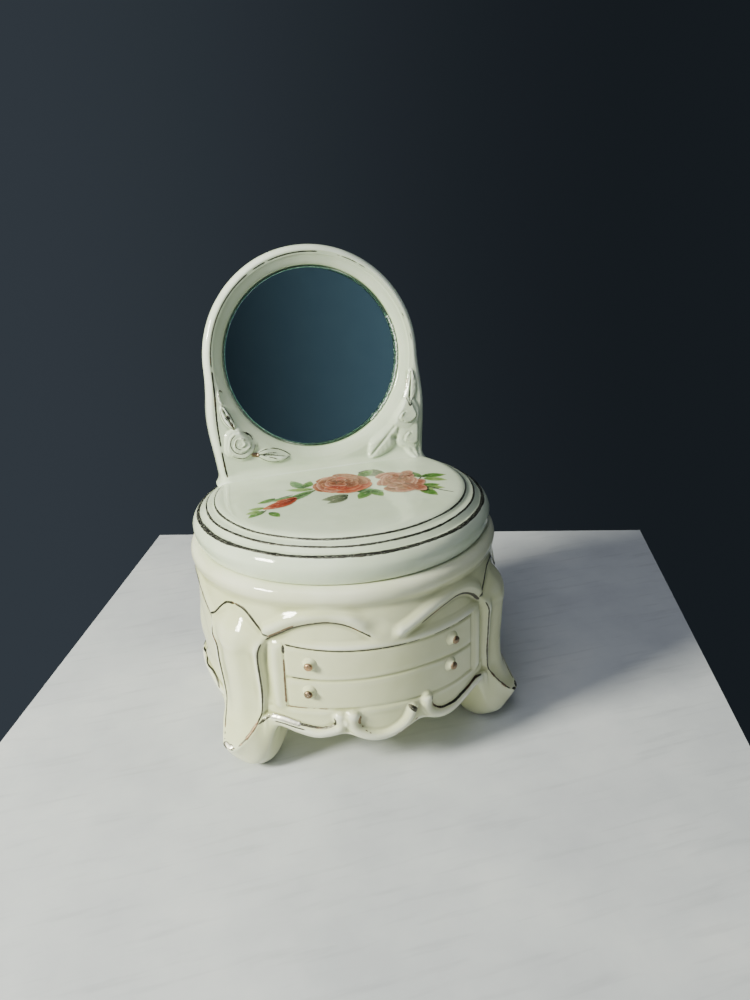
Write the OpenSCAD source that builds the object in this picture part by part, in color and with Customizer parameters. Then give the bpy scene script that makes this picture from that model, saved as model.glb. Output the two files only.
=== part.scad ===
// Porcelain vanity trinket box: a round drum on four cabriole legs, and a lift-off
// lid that carries an upright mirror. Origin on the table under the drum's axis,
// +Z up, the mock drawers face -Y. Millimetres.

/* [Base] */
// Outside radius of the drum
drum_r = 58; // [56:0.5:60]
// Height of the rim that the lid rests on
rim_z = 76; // [74:1:80]
// Thickness of the cast wall
wall = 4.5; // [3.5:0.5:5]
// Height of the inside floor above the table
floor_z = 27; // [26:1:30]
// Height of the drum's underside above the table
drum_z = 22.5; // [21:0.5:23]

/* [Legs] */
// Angle of each leg from the front or the back
leg_angle = 56; // [54:1:58]
// Radius at which the toe's tip ends
toe_r = 68.5; // [66:0.5:71]
// Height of the toe's tip
toe_z = 8; // [7:0.5:9]

/* [Drawers] */
// Half of the angle that the mock drawers cover
drawer_half = 36; // [32:1:38]
// Height of the lower drawer's bottom edge
drawer_z = 30.5; // [29:0.5:32]
// Height of one mock drawer
drawer_h = 12; // [11:0.5:12]
// How far the mock drawers stand out
drawer_proud = 1.2; // [0.8:0.1:2]
// Radius of a knob's ball
knob_r = 1.7; // [1.5:0.1:2.5]

/* [Lid] */
// Largest radius of the lid's rounded edge
lid_r = 56.3; // [55:0.1:58]
// Height of the flat middle of the lid
lid_z = 91.2; // [90:0.1:93]
// Clearance round the lid's locating flange
flange_gap = 1; // [0.5:0.1:1.5]
// How far the flange reaches into the drum
flange_depth = 6; // [4:0.5:8]

/* [Mirror] */
// Radius of the mirror glass
glass_r = 35; // [33:0.5:36]
// Thickness of the mirror glass
glass_t = 2; // [1.5:0.5:3]
// Lean of the mirror away from the viewer
lean = 9.5; // [7:0.5:12]
// Outside radius of the frame's arch
frame_r = 43; // [42:0.5:45]
// Thickness of the frame from front to back
frame_t = 9.5; // [8:0.5:11]

/* [Hidden] */
$fn = 96;
far = 200;

porcelain = "#E9EAD8";
gold = "#C9A24A";

// Rim, seat and locating flange
rim_in = drum_r - 6.2;
seat_gap = 0.2;
lid_under = rim_z + seat_gap;
flange_out = rim_in - flange_gap;
flange_t = 3.8;

// The lid's two gilded steps, outside the flat middle
middle_r = 48.3;
step_1_r = 51.6;
step_1_z = lid_z - 2.3;
step_2_r = 54.8;
step_2_z = lid_z - 4.6;
lid_t = 5;

// Mirror seat: distances are forwards (+) or backwards (-) from the glass's front face
mirror_y = 33.5;
mirror_z = 134.4;
face_w = 3;
silver_t = 0.12;
cement_t = 0.3;
recess_r = glass_r + 0.5;
recess_w = -(glass_t + silver_t + cement_t);

// Thickness of gilding and transfer, and width of a gilded line
film = 0.15;
line_w = 0.8;

// ---- helpers ----

// A ring segment centred on the front (-Y), between two radii, two heights and +-half degrees
module band(r0, r1, z0, z1, half) {
    rotate([0, 0, -90 - half])
        rotate_extrude(angle = 2 * half)
            translate([r0, z0])
                square([r1 - r0, z1 - z0]);
}

// Turns children from the front to an angle; + goes towards +X
module around(angle) {
    rotate([0, 0, angle]) children();
}

// Lays a 2D outline, drawn in X and Z, over the front half of the object
module over_front() {
    rotate([90, 0, 0]) linear_extrude(far) children();
}

// The mirror's own frame: X right, Y up along the lean, Z out of the glass
module at_mirror() {
    translate([0, mirror_y, mirror_z]) rotate([90 - lean, 0, 0]) children();
}

// ---- base ----

// One casting's wall and floor: rounded rim band on top, hollow for trinkets inside
module base_bowl() {
    color(porcelain)
    rotate_extrude()
        polygon([
            [0, drum_z], [drum_r, drum_z], [drum_r, rim_z - 11], [drum_r - 0.6, rim_z - 9],
            [drum_r - 1.8, rim_z - 7.6], [drum_r - 0.8, rim_z - 6.4], [drum_r - 0.2, rim_z - 4.6],
            [drum_r - 0.2, rim_z - 2.6], [drum_r - 0.8, rim_z - 1], [drum_r - 1.8, rim_z],
            [rim_in, rim_z], [rim_in, rim_z - 8], [drum_r - wall, rim_z - 10],
            [drum_r - wall, floor_z + 4], [drum_r - wall - 1.2, floor_z + 1.2],
            [drum_r - wall - 4, floor_z], [0, floor_z]]);
}

// Lower edge of the wide apron, as a height for a distance x from the middle
function wide_edge(x) =
    abs(x) < 13 ? 17.5 + 2.5 * pow(x / 13, 2)
    : 19.5 + 0.5 * abs(sin(180 * (abs(x) - 13) / 12)) + (abs(x) > 32 ? (abs(x) - 32) * 0.4 : 0);

// Lower edge of the narrow apron between two legs on one side
function narrow_edge(x) = 19 + 2.4 * pow(x / 18, 2);

// A skirt under the drum whose lower edge follows one of the functions above
module apron(half, wide) {
    reach = drum_r * sin(half + 5) + 1;
    edge = [for (i = [-20:20])
        let (x = i * reach / 20)
        [x, wide ? wide_edge(x) : narrow_edge(x)]];
    color(porcelain)
    difference() {
        intersection() {
            band(drum_r - wall, drum_r, drum_z - 8, drum_z, half + 5);
            over_front() polygon(concat(edge, [[reach, drum_z + 1], [-reach, drum_z + 1]]));
        }
        for (side = [-1, 1]) around(side * (half + 12.5)) leg_shape();
    }
}

module wide_apron(angle) { around(angle) apron(leg_angle - 12.5, true); }
module narrow_apron(angle) { around(angle) apron(90 - leg_angle - 12.5, false); }

// Sections of a leg, bottom to top. Each is its height, then tip radius and half angle,
// shoulder radius and half angle, back radius and half angle
leg_sections = [
    [0, 61.5, 2.5, 59.5, 4, 55.5, 2.5],
    [1.2, 64.5, 2.5, 60, 6, 53, 4],
    [4, toe_r - 1, 2, 60, 8, 50, 6],
    [toe_z, toe_r, 1, 60, 9.5, 48, 7],
    [toe_z + 2, toe_r - 2.5, 2.5, 60.5, 9.5, 47, 8],
    [14, 62.8, 5, 60, 9.5, 46, 9],
    [20.5, 60.8, 6, 60, 8, 45, 10.5],
    [26, 60.9, 6.3, 60.1, 8.3, 48, 10],
    [34, 61.5, 7, 60.5, 9, 52, 9.5],
    [46, 62.5, 7, 61, 10, 55, 10.5],
    [54, 62, 7, 60.5, 12, 55, 13],
    [58, 61, 6, 60, 11, 55, 12],
    [62, 60, 5, 59.5, 8, 55, 9],
    [65.5, 58.8, 2, 58.6, 3, 55, 4]];

function polar(r, angle, z) = [r * sin(angle), -r * cos(angle), z];

// One ring of eight points round a leg's section
function leg_ring(s) = [
    polar(s[1], -s[2], s[0]), polar(s[1], s[2], s[0]),
    polar(s[3], s[4], s[0]), polar((s[3] + s[5]) / 2, s[4] + 0.5, s[0]),
    polar(s[5], s[6], s[0]), polar(s[5], -s[6], s[0]),
    polar((s[3] + s[5]) / 2, -s[4] - 0.5, s[0]), polar(s[3], -s[4], s[0])];

// A closed solid through rings of the same number of points
module loft(rings) {
    n = len(rings[0]);
    top = (len(rings) - 1) * n;
    points = [for (ring = rings) each ring];
    sides = [for (k = [0:len(rings) - 2]) for (i = [0:n - 1])
        each [[k * n + i, (k + 1) * n + i, (k + 1) * n + (i + 1) % n],
              [k * n + i, (k + 1) * n + (i + 1) % n, k * n + (i + 1) % n]]];
    polyhedron(points, concat(sides, [[for (i = [0:n - 1]) i]],
        [[for (i = [n - 1:-1:0]) top + i]]));
}

module leg_shape() { loft([for (s = leg_sections) leg_ring(s)]); }

// The drum's circle as straight runs of 5 degrees that touch it from outside
module drum_outline() {
    polygon([for (a = [0:5:355]) drum_r / cos(2.5) * [cos(a), sin(a)]]);
}

// A leg with a flat pad under its foot: knee on the drum, toe turned out
module leg(angle) {
    color(porcelain)
    around(angle)
    difference() {
        leg_shape();
        translate([0, 0, drum_z]) linear_extrude(far) drum_outline();
    }
}

// A mock drawer: a shallow curved panel raised on the drum
module drawer_front(level) {
    z0 = drawer_z + level * drawer_h;
    gap = 0.35;
    color(porcelain)
        band(drum_r, drum_r + drawer_proud, z0 + gap, z0 + drawer_h - gap, drawer_half - gap / 2);
}

knob_angle = 26;
knob_stem = 1.1;

// Puts children on a drawer knob's axis, with +Z outwards from the drawer's face
module at_knobs() {
    for (level = [0, 1], side = [-1, 1])
        around(side * knob_angle)
            translate([0, -drum_r - drawer_proud, drawer_z + (level + 0.5) * drawer_h])
                rotate([90, 0, 0]) children();
}

// Four knobs, each a short neck and a ball cut to the drawer's curve
module drawer_knobs() {
    color(porcelain)
    difference() {
        at_knobs() {
            cylinder(r = knob_r * 0.7, h = knob_stem, $fn = 32);
            translate([0, 0, knob_stem]) sphere(r = knob_r, $fn = 32);
        }
        cylinder(r = drum_r + drawer_proud, h = far);
    }
}

scroll_r = 11;
scroll_rod = 2.2;
scroll_z = 29;

// The C scroll in the middle of a wide apron: half a ring with a curl at each end
module scroll(angle) {
    color(porcelain)
    around(angle)
    difference() {
        translate([0, -drum_r + 0.6, scroll_z]) rotate([90, 0, 0]) {
            rotate([0, 0, 180]) rotate_extrude(angle = 180)
                translate([scroll_r, 0]) circle(r = scroll_rod, $fn = 32);
            for (side = [-1, 1])
                translate([side * scroll_r, 0, 0]) sphere(r = scroll_rod * 1.15, $fn = 32);
        }
        cylinder(r = drum_r, h = far);
        band(drum_r - 1, drum_r + far, drawer_z - 0.5, drawer_z + drawer_h, 30);
    }
}

// A gilded arc on the drum: the part of a circle above a height
module gilded_arch(x, z, r, above) {
    intersection() {
        difference() {
            cylinder(r = drum_r + film, h = rim_z - 8);
            cylinder(r = drum_r, h = far);
        }
        over_front() difference() {
            translate([x, z]) circle(r = r);
            translate([x, z]) circle(r = r - line_w);
            translate([-far, above - far]) square([2 * far, far]);
        }
    }
}

// Gilded lines: drawer edges, arches over the panels, and the knobs' tips
module base_gilding() {
    face = drum_r + drawer_proud;
    gap = 0.35;
    color(gold) {
        difference() {
            band(drum_r, drum_r + film, drawer_z - gap, drawer_z + 2 * drawer_h + gap,
                drawer_half + gap / 2);
            for (level = [0, 1])
                band(drum_r - 1, drum_r + 1, drawer_z + level * drawer_h + gap,
                    drawer_z + (level + 1) * drawer_h - gap, drawer_half - gap / 2);
        }
        for (angle = [0, 180], side = [-1, 1])
            around(angle) gilded_arch(side * 20, 38, 26.5, 56.5);
        for (angle = [90, -90])
            around(angle) gilded_arch(0, 41, 24, 59);
        at_knobs()
            translate([0, 0, knob_stem + knob_r]) cylinder(r = 0.7, h = film, $fn = 24);
    }
}

// ---- lid ----

// The lid's top: flat middle and two steps, from the axis to the outer edge
lid_top = [[0, lid_z], [middle_r, lid_z], [middle_r, step_1_z], [step_1_r, step_1_z],
    [step_1_r, step_2_z], [step_2_r, step_2_z]];

// The lid: stepped top, rounded edge and the locating flange underneath
module lid_disc() {
    flange_in = flange_out - flange_t;
    color(porcelain)
    rotate_extrude()
        polygon(concat(lid_top, [
            [lid_r - 0.5, lid_z - 6.2], [lid_r, lid_z - 8.2], [lid_r, lid_z - 10.6],
            [lid_r - 0.7, lid_z - 13.2], [lid_r - 2, lid_under], [flange_out, lid_under],
            [flange_out, rim_z - flange_depth], [flange_in, rim_z - flange_depth],
            [flange_in, lid_z - lid_t], [0, lid_z - lid_t]]));
}

// The arched plate that the frame is cut from, reaching below the lid's top
module frame_plate() {
    at_mirror() translate([0, 0, face_w - frame_t]) linear_extrude(frame_t) {
        circle(r = frame_r);
        polygon([[-frame_r, 0], [-frame_r - 1, -20], [-42, -60],
            [42, -60], [frame_r + 1, -20], [frame_r, 0]]);
    }
}

// The mirror frame: leans back, and its foot follows the lid's stepped top
module mirror_frame() {
    color(porcelain)
    difference() {
        frame_plate();
        at_mirror() {
            translate([0, 0, recess_w]) cylinder(r = recess_r, h = far);
            translate([0, 0, 0.5]) cylinder(r1 = recess_r, r2 = recess_r + 2.6, h = face_w - 0.4);
        }
        rotate_extrude() polygon(concat(lid_top, [[step_2_r, lid_z - far], [0, lid_z - far]]));
    }
}

// A leaf of a given length that points along +X: where two circles overlap
module leaf(length) {
    bow = 0.75 * length;
    rise = sqrt(bow * bow - length * length / 4);
    translate([length / 2, 0])
        intersection() {
            translate([0, rise]) circle(r = bow);
            translate([0, -rise]) circle(r = bow);
        }
}

// A moulded rose with a leaf above and a leaf beside it, on one side of the frame
module rose_relief(side) {
    color(porcelain)
    at_mirror()
    translate([side * 33.5, -30, face_w]) {
        cylinder(r1 = 6, r2 = 4.6, h = 1.2);
        for (ring = [0:2])
            translate([0, 0, 1.2]) rotate_extrude()
                translate([1.2 + ring * 1.5, 0]) circle(r = 0.7, $fn = 24);
        rotate([0, 0, 90 - side * 17]) translate([5.4, 0, 0]) linear_extrude(1.3) leaf(9.5);
        rotate([0, 0, side > 0 ? 200 : -20]) translate([5.9, 0, 0]) linear_extrude(1.3) leaf(12);
    }
}

module mirror_glass() {
    color("#AFC4C8", 0.4)
    at_mirror() translate([0, 0, -glass_t]) cylinder(r = glass_r, h = glass_t);
}

// The silvered coat on the back of the glass
module mirror_silvering() {
    color("#8C979B")
    at_mirror() translate([0, 0, -glass_t - silver_t]) cylinder(r = glass_r - 0.3, h = silver_t);
}

// The pad of cement behind the mirror, and what squeezed out round its right side
module mirror_cement() {
    color("#C4BE9A")
    at_mirror() {
        translate([0, 0, recess_w]) cylinder(r = glass_r - 4, h = cement_t);
        rotate([0, 0, -55]) rotate_extrude(angle = 85)
            translate([glass_r, -1.6]) square([recess_r - glass_r, 1.4]);
    }
}

// The printed rose spray, as thin flat shapes on the lid's middle
module rose_decal() {
    translate([0, 0, lid_z]) {
        color("#C77558") linear_extrude(film) {
            translate([0.5, 1]) circle(r = 10.5);
            translate([22, -5.5]) circle(r = 8.5);
            translate([-31, -11]) rotate([0, 0, 18]) leaf(13);
        }
        color("#7A9A55") linear_extrude(film) {
            for (place = [[-17, -6, 20, 9], [-32, -13, 200, 7], [-30, -15, 290, 6],
                    [-10.5, 5, 160, 11], [3, -10.5, 300, 8], [-4, -10, 240, 8], [12, 7.5, 30, 10],
                    [30.5, -2, 15, 11], [30, -8, 340, 11], [11.5, -3, 250, 6]])
                translate([place[0], place[1]]) rotate([0, 0, place[2]]) leaf(place[3]);
        }
    }
}

// Three gilded rings round the lid, broken where the frame stands
module lid_gilding() {
    color(gold)
    difference() {
        for (ring = [[middle_r - 1.4, lid_z], [step_1_r - 1.2, step_1_z],
                [step_2_r - 1.4, step_2_z]])
            rotate_extrude() translate(ring) square([line_w, film]);
        frame_plate();
    }
}

// A gilded line down both sides and over the arch of the frame's face
module frame_gilding() {
    r = frame_r - 2.6;
    color(gold)
    at_mirror() translate([0, 0, face_w]) {
        rotate_extrude(angle = 180) translate([r, 0]) square([line_w, film]);
        for (side = [-1, 1])
            translate([side * (r + line_w / 2) - line_w / 2, -42, 0]) cube([line_w, 42, film]);
    }
}

// ---- nodes ----

base_bowl();
wide_apron(0);  // front_apron
wide_apron(180);  // rear_apron
narrow_apron(-90);  // left_apron
narrow_apron(90);  // right_apron
leg(-leg_angle);  // front_left_leg
leg(leg_angle);  // front_right_leg
leg(180 + leg_angle);  // rear_left_leg
leg(180 - leg_angle);  // rear_right_leg
drawer_front(1);  // upper_drawer_front
drawer_front(0);  // lower_drawer_front
drawer_knobs();
scroll(0);  // front_scroll
scroll(180);  // rear_scroll
base_gilding();
lid_disc();
mirror_frame();
rose_relief(-1);  // left_rose_relief
rose_relief(1);  // right_rose_relief
mirror_glass();
mirror_silvering();
mirror_cement();
rose_decal();
lid_gilding();
frame_gilding();
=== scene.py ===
# %% [markdown]
# # A porcelain vanity trinket box
#
# The real object is a slip-cast, ivory-glazed porcelain box about 113 mm across. A round drum stands
# on four cabriole legs and wears mock drawers, scrolls and arches as low relief. A stepped lid lifts
# off, and carries an arched frame with a round mirror. Worn gold lustre follows the relief, and a
# fired-on rose spray decorates the lid.
#
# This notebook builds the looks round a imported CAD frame. Each cell makes one thing and prints what
# it made. Lengths are written in millimetres and turned to metres at the last moment.

# %% Load the frame
import math

import bmesh
import bpy
import numpy as np
from mathutils import Matrix, Vector


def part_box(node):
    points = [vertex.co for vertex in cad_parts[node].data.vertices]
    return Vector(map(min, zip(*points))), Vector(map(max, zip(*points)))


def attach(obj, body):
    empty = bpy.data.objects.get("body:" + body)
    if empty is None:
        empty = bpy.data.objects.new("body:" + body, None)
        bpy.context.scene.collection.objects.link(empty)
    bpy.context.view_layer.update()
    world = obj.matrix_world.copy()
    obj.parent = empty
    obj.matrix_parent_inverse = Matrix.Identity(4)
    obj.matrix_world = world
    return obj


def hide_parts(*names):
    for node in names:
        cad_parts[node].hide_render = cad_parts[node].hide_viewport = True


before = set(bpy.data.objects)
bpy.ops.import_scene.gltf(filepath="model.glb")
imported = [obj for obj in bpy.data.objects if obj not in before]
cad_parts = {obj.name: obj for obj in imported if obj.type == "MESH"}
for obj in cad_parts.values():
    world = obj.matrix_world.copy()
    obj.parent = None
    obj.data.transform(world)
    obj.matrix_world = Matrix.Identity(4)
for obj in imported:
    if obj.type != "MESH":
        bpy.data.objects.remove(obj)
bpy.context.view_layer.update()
MM = 0.001

# %% [markdown]
# ## Sizes from the frame
#
# Everything that has to meet a CAD piece takes its size from that piece. The mirror leans back by the
# part's 9.5 degrees, so the glass's own box gives its radius and the centre of its front face.

# %% Measure the frame


def node_box(name):
    """Lowest and highest corner of a CAD node, in millimetres."""
    low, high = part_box(name)
    return np.array(low) / MM, np.array(high) / MM


glass_low, glass_high = node_box("mirror_glass")
GLASS_R = (glass_high[0] - glass_low[0]) / 2
GLASS_T = 2.0
LEAN = math.radians(9.5)
MIRROR_Y = glass_low[1] + GLASS_R * math.sin(LEAN)
MIRROR_Z = (glass_low[2] + glass_high[2]) / 2 + GLASS_T / 2 * math.sin(LEAN)
print("glass radius", round(GLASS_R, 2), "centre", round(MIRROR_Y, 2), round(MIRROR_Z, 2))

# %% [markdown]
# ## Curves from a few points
#
# A modeller draws an ornament with a few points and lets a smooth curve join them. The relief and the
# gold lines share the same curves here, so the paint always sits where the relief turns.
# Round the drum, a point is an angle from the front in degrees and a height in millimetres. At this
# radius one degree is almost exactly one millimetre, so angle and height make a flat drawing.

# %% Smooth curves


def smooth(points, step=0.5):
    """A curve through the points (Catmull-Rom), with a point about every step."""
    p = np.asarray(points, float)
    p = np.vstack([2 * p[0] - p[1], p, 2 * p[-1] - p[-2]])
    out = []
    for a, b, c, d in zip(p[:-3], p[1:-2], p[2:-1], p[3:]):
        n = max(2, int(math.ceil(np.linalg.norm(c - b) / step)))
        t = np.linspace(0, 1, n, endpoint=False)[:, None]
        out.append(b + 0.5 * t * ((c - a) + t * ((2 * a - 5 * b + 4 * c - d)
                   + t * (3 * b - a - 3 * c + d))))
    out.append(p[-2:-1])
    return np.vstack(out)


def profile(points):
    """A smooth function through (x, y) points with rising x."""
    curve = smooth(points, 0.25)
    return lambda x: np.interp(x, curve[:, 0], curve[:, 1])


def ramp(x, low, high):
    """0 below low, 1 above high, and a smooth step between."""
    t = np.clip((x - low) / (high - low), 0, 1)
    return t * t * (3 - 2 * t)


def hump(x, width):
    """A soft bump of height 1, that ends at +-width."""
    t = np.clip(np.abs(x) / width, 0, 1)
    return (1 - t * t) ** 2


def nearest(path, x, y):
    """Distance from each (x, y) to a path, and the share of the path's length where it is nearest."""
    best = np.full(x.shape, 1e9)
    where = np.zeros(x.shape)
    box_low, box_high = path.min(0) - 9, path.max(0) + 9
    near = (x > box_low[0]) & (x < box_high[0]) & (y > box_low[1]) & (y < box_high[1])
    px, py = x[near], y[near]
    b, w = np.full(px.shape, 1e9), np.zeros(px.shape)
    for k, (p, q) in enumerate(zip(path[:-1], path[1:])):
        d = q - p
        t = np.clip(((px - p[0]) * d[0] + (py - p[1]) * d[1]) / max(d @ d, 1e-12), 0, 1)
        r = np.hypot(px - p[0] - t * d[0], py - p[1] - t * d[1])
        closer = r < b
        b = np.where(closer, r, b)
        w = np.where(closer, (k + t) / (len(path) - 1), w)
    best[near], where[near] = b, w
    return best, where


def inside(path, x, y):
    """True where (x, y) lies inside the closed path."""
    hit = np.zeros(x.shape, bool)
    for p, q in zip(path, np.roll(path, -1, axis=0)):
        if p[1] != q[1]:
            crosses = (p[1] > y) != (q[1] > y)
            hit ^= crosses & (x < (q[0] - p[0]) * (y - p[1]) / (q[1] - p[1]) + p[0])
    return hit


print("a curve of 3 points has", len(smooth([(0, 0), (5, 2), (10, 0)])), "points")

# %% [markdown]
# ## The drum's drawing
#
# These are the ornament's lines on the unrolled drum. The legs stand 56 degrees from the front and
# the back. The carved apron between the front legs ends in two hooks with a C scroll between them,
# and its middle sits a little to the left, as on a hand-carved master model.

# %% Ornament lines
LEG_AT = 56.0
DRAWER_HALF = 36.4

# half of a leg panel's outline: degrees from the leg's middle, height
leg_half = [(0.0, 11.8), (1.6, 12.0), (3.2, 12.9), (4.9, 15.0), (6.9, 18.4), (8.4, 21.7), (9.8, 25.4),
            (10.6, 30.0), (11.1, 35.0), (11.2, 41.0), (11.1, 46.5), (11.9, 51.5), (13.5, 55.6),
            (15.0, 57.9)]
leg_top = [(15.0, 57.9), (12.4, 59.1), (10.0, 61.2), (7.0, 63.9), (4.0, 65.7), (0.0, 66.4)]
leg_side_line = smooth(leg_half)
leg_top_line = smooth(leg_top)
leg_right = np.vstack([leg_side_line, leg_top_line[1:]])
leg_outline = np.vstack([leg_right, (leg_right * [-1, 1])[::-1]])

arches = smooth([(-42.5, 56.2), (-38.2, 58.6), (-32.2, 61.8), (-26.6, 63.4), (-21.3, 64.1), (-16.8, 63.6),
                 (-13.0, 62.3), (-9.8, 60.4), (-6.5, 58.2), (-3.2, 56.3), (0.3, 55.2), (3.2, 55.2),
                 (5.6, 55.9), (10.1, 57.9), (16.1, 60.6), (22.7, 62.6), (28.6, 63.5), (33.1, 62.7),
                 (37.6, 60.3), (41.0, 57.2), (43.0, 55.6)])
side_arch = smooth([(69.3, 56.0), (74, 59.4), (79, 63.0), (84.5, 65.4), (90, 66.2)])
side_groove = smooth([(42.6, 53.6), (43.6, 50.5), (43.8, 46), (43.6, 40), (43.5, 34.5), (43.2, 29.6)])

# the mock drawers' three edges, a little bowed as the master was carved by hand
drawer_top = profile([(-38, 54.8), (-27.4, 53.8), (-15.4, 53.0), (-1.4, 52.7), (12.5, 52.6), (38, 52.9)])
drawer_middle = profile([(-38, 42.2), (-28, 41.7), (-18, 41.5), (0, 41.8), (14, 42.1), (26, 41.5),
                         (38, 41.0)])
drawer_bottom = profile([(-38, 29.9), (-19.5, 30.2), (0, 30.0), (21, 29.9), (38, 30.1)])

# the carved apron between the front legs: lower edge, raised borders and scroll
apron_edge = profile([(-52, 24.2), (-46, 23.6), (-43, 23.2), (-37.9, 22.0), (-32.8, 20.3), (-27.1, 19.1),
                      (-21.5, 20.4), (-16.6, 21.5), (-13.9, 20.4), (-8.6, 18.1), (-5.1, 17.5),
                      (0.6, 17.9), (5.8, 19.5), (10.5, 22.0), (13.0, 21.6), (17.2, 19.6),
                      (21.7, 18.7), (27.9, 19.3), (33.8, 20.9), (38, 22.2), (43, 23.2), (46, 23.6),
                      (52, 24.2)])
side_edge = profile([(58, 23.6), (66, 23.4), (70, 23.9), (73.6, 25.2), (78, 26.5), (83, 27.1),
                     (90, 26.2)])
apron_borders = [
    smooth([(-48.5, 21.6), (-46.5, 22.4), (-44, 23.4), (-41, 23.5), (-37.5, 22.8), (-34, 22.1), (-30, 21.2),
            (-26, 20.6), (-22.5, 21.3), (-19, 22.6), (-17.9, 24.8), (-18.4, 26.9)]),
    smooth([(48.5, 21.4), (46.5, 22.2), (43, 23.1), (39, 23.4), (35, 22.9), (30, 21.5), (25, 20.2),
            (20.8, 20.1), (17, 21.1), (14.2, 23.2), (13.2, 26.0), (13.3, 28.8)])]
scroll_line = smooth([(-13.8, 27.2), (-14.1, 24.8), (-13.0, 22.3), (-10.6, 20.3), (-7.4, 18.9),
                      (-3.8, 18.5), (-0.8, 19.0), (2.2, 20.1), (4.9, 21.9), (6.6, 24.2), (7.5, 26.5)])
scroll_width = [2.8, 2.6, 2.4, 2.2, 2.0, 1.8, 1.8, 2.0, 2.2, 2.2, 2.2]
side_border = smooth([(65, 24.5), (70, 25.0), (74, 26.2), (78, 27.5), (83, 28.2), (90, 27.4)])
print("leg outline has", len(leg_outline), "points; apron's lowest edge", round(float(apron_edge(-4)), 1))

# %% [markdown]
# ## The drum's relief as one function
#
# The whole base is one slip casting, so it is one continuous glazed skin here too. Its outside is a
# radius for each angle and height: the plain drum, plus what each ornament adds or takes away.
# A function like this is easy to tune, because each ornament is one line with a height in millimetres,
# and the edges stay soft, as glaze leaves them.

# %% Radius of the outside
drum_radius = profile([(0, 57.6), (24, 57.6), (32, 57.8), (44, 58.0), (54, 58.0), (60, 57.7), (64.5, 57.2),
                       (67.4, 56.6), (68.6, 56.7), (69.8, 57.4), (71.5, 58.1), (73.3, 58.2),
                       (74.8, 57.6), (75.6, 56.6), (76.0, 55.6)])
leg_radius = profile([(0, 68.6), (10.6, 68.6), (11.6, 68.2), (12.8, 67.0), (14.3, 65.6), (16.4, 64.2),
                      (19.4, 62.9), (23, 62.1), (27.5, 61.6), (34, 61.5), (41, 62.0), (48, 62.4),
                      (51.5, 62.9), (54.5, 62.6), (57, 61.7), (59.5, 60.1), (62, 58.4), (64.5, 57.6),
                      (67, 57.4), (70, 57.4)])


def fold(phi):
    """Signed angle within its half, angle from the nearer of front and back, and True at the front."""
    a = (phi + 180) % 360 - 180
    front = np.abs(a) <= 90
    turned = np.where(front, a, (phi + 360) % 360 - 180)
    return turned, np.abs(turned), front


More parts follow.
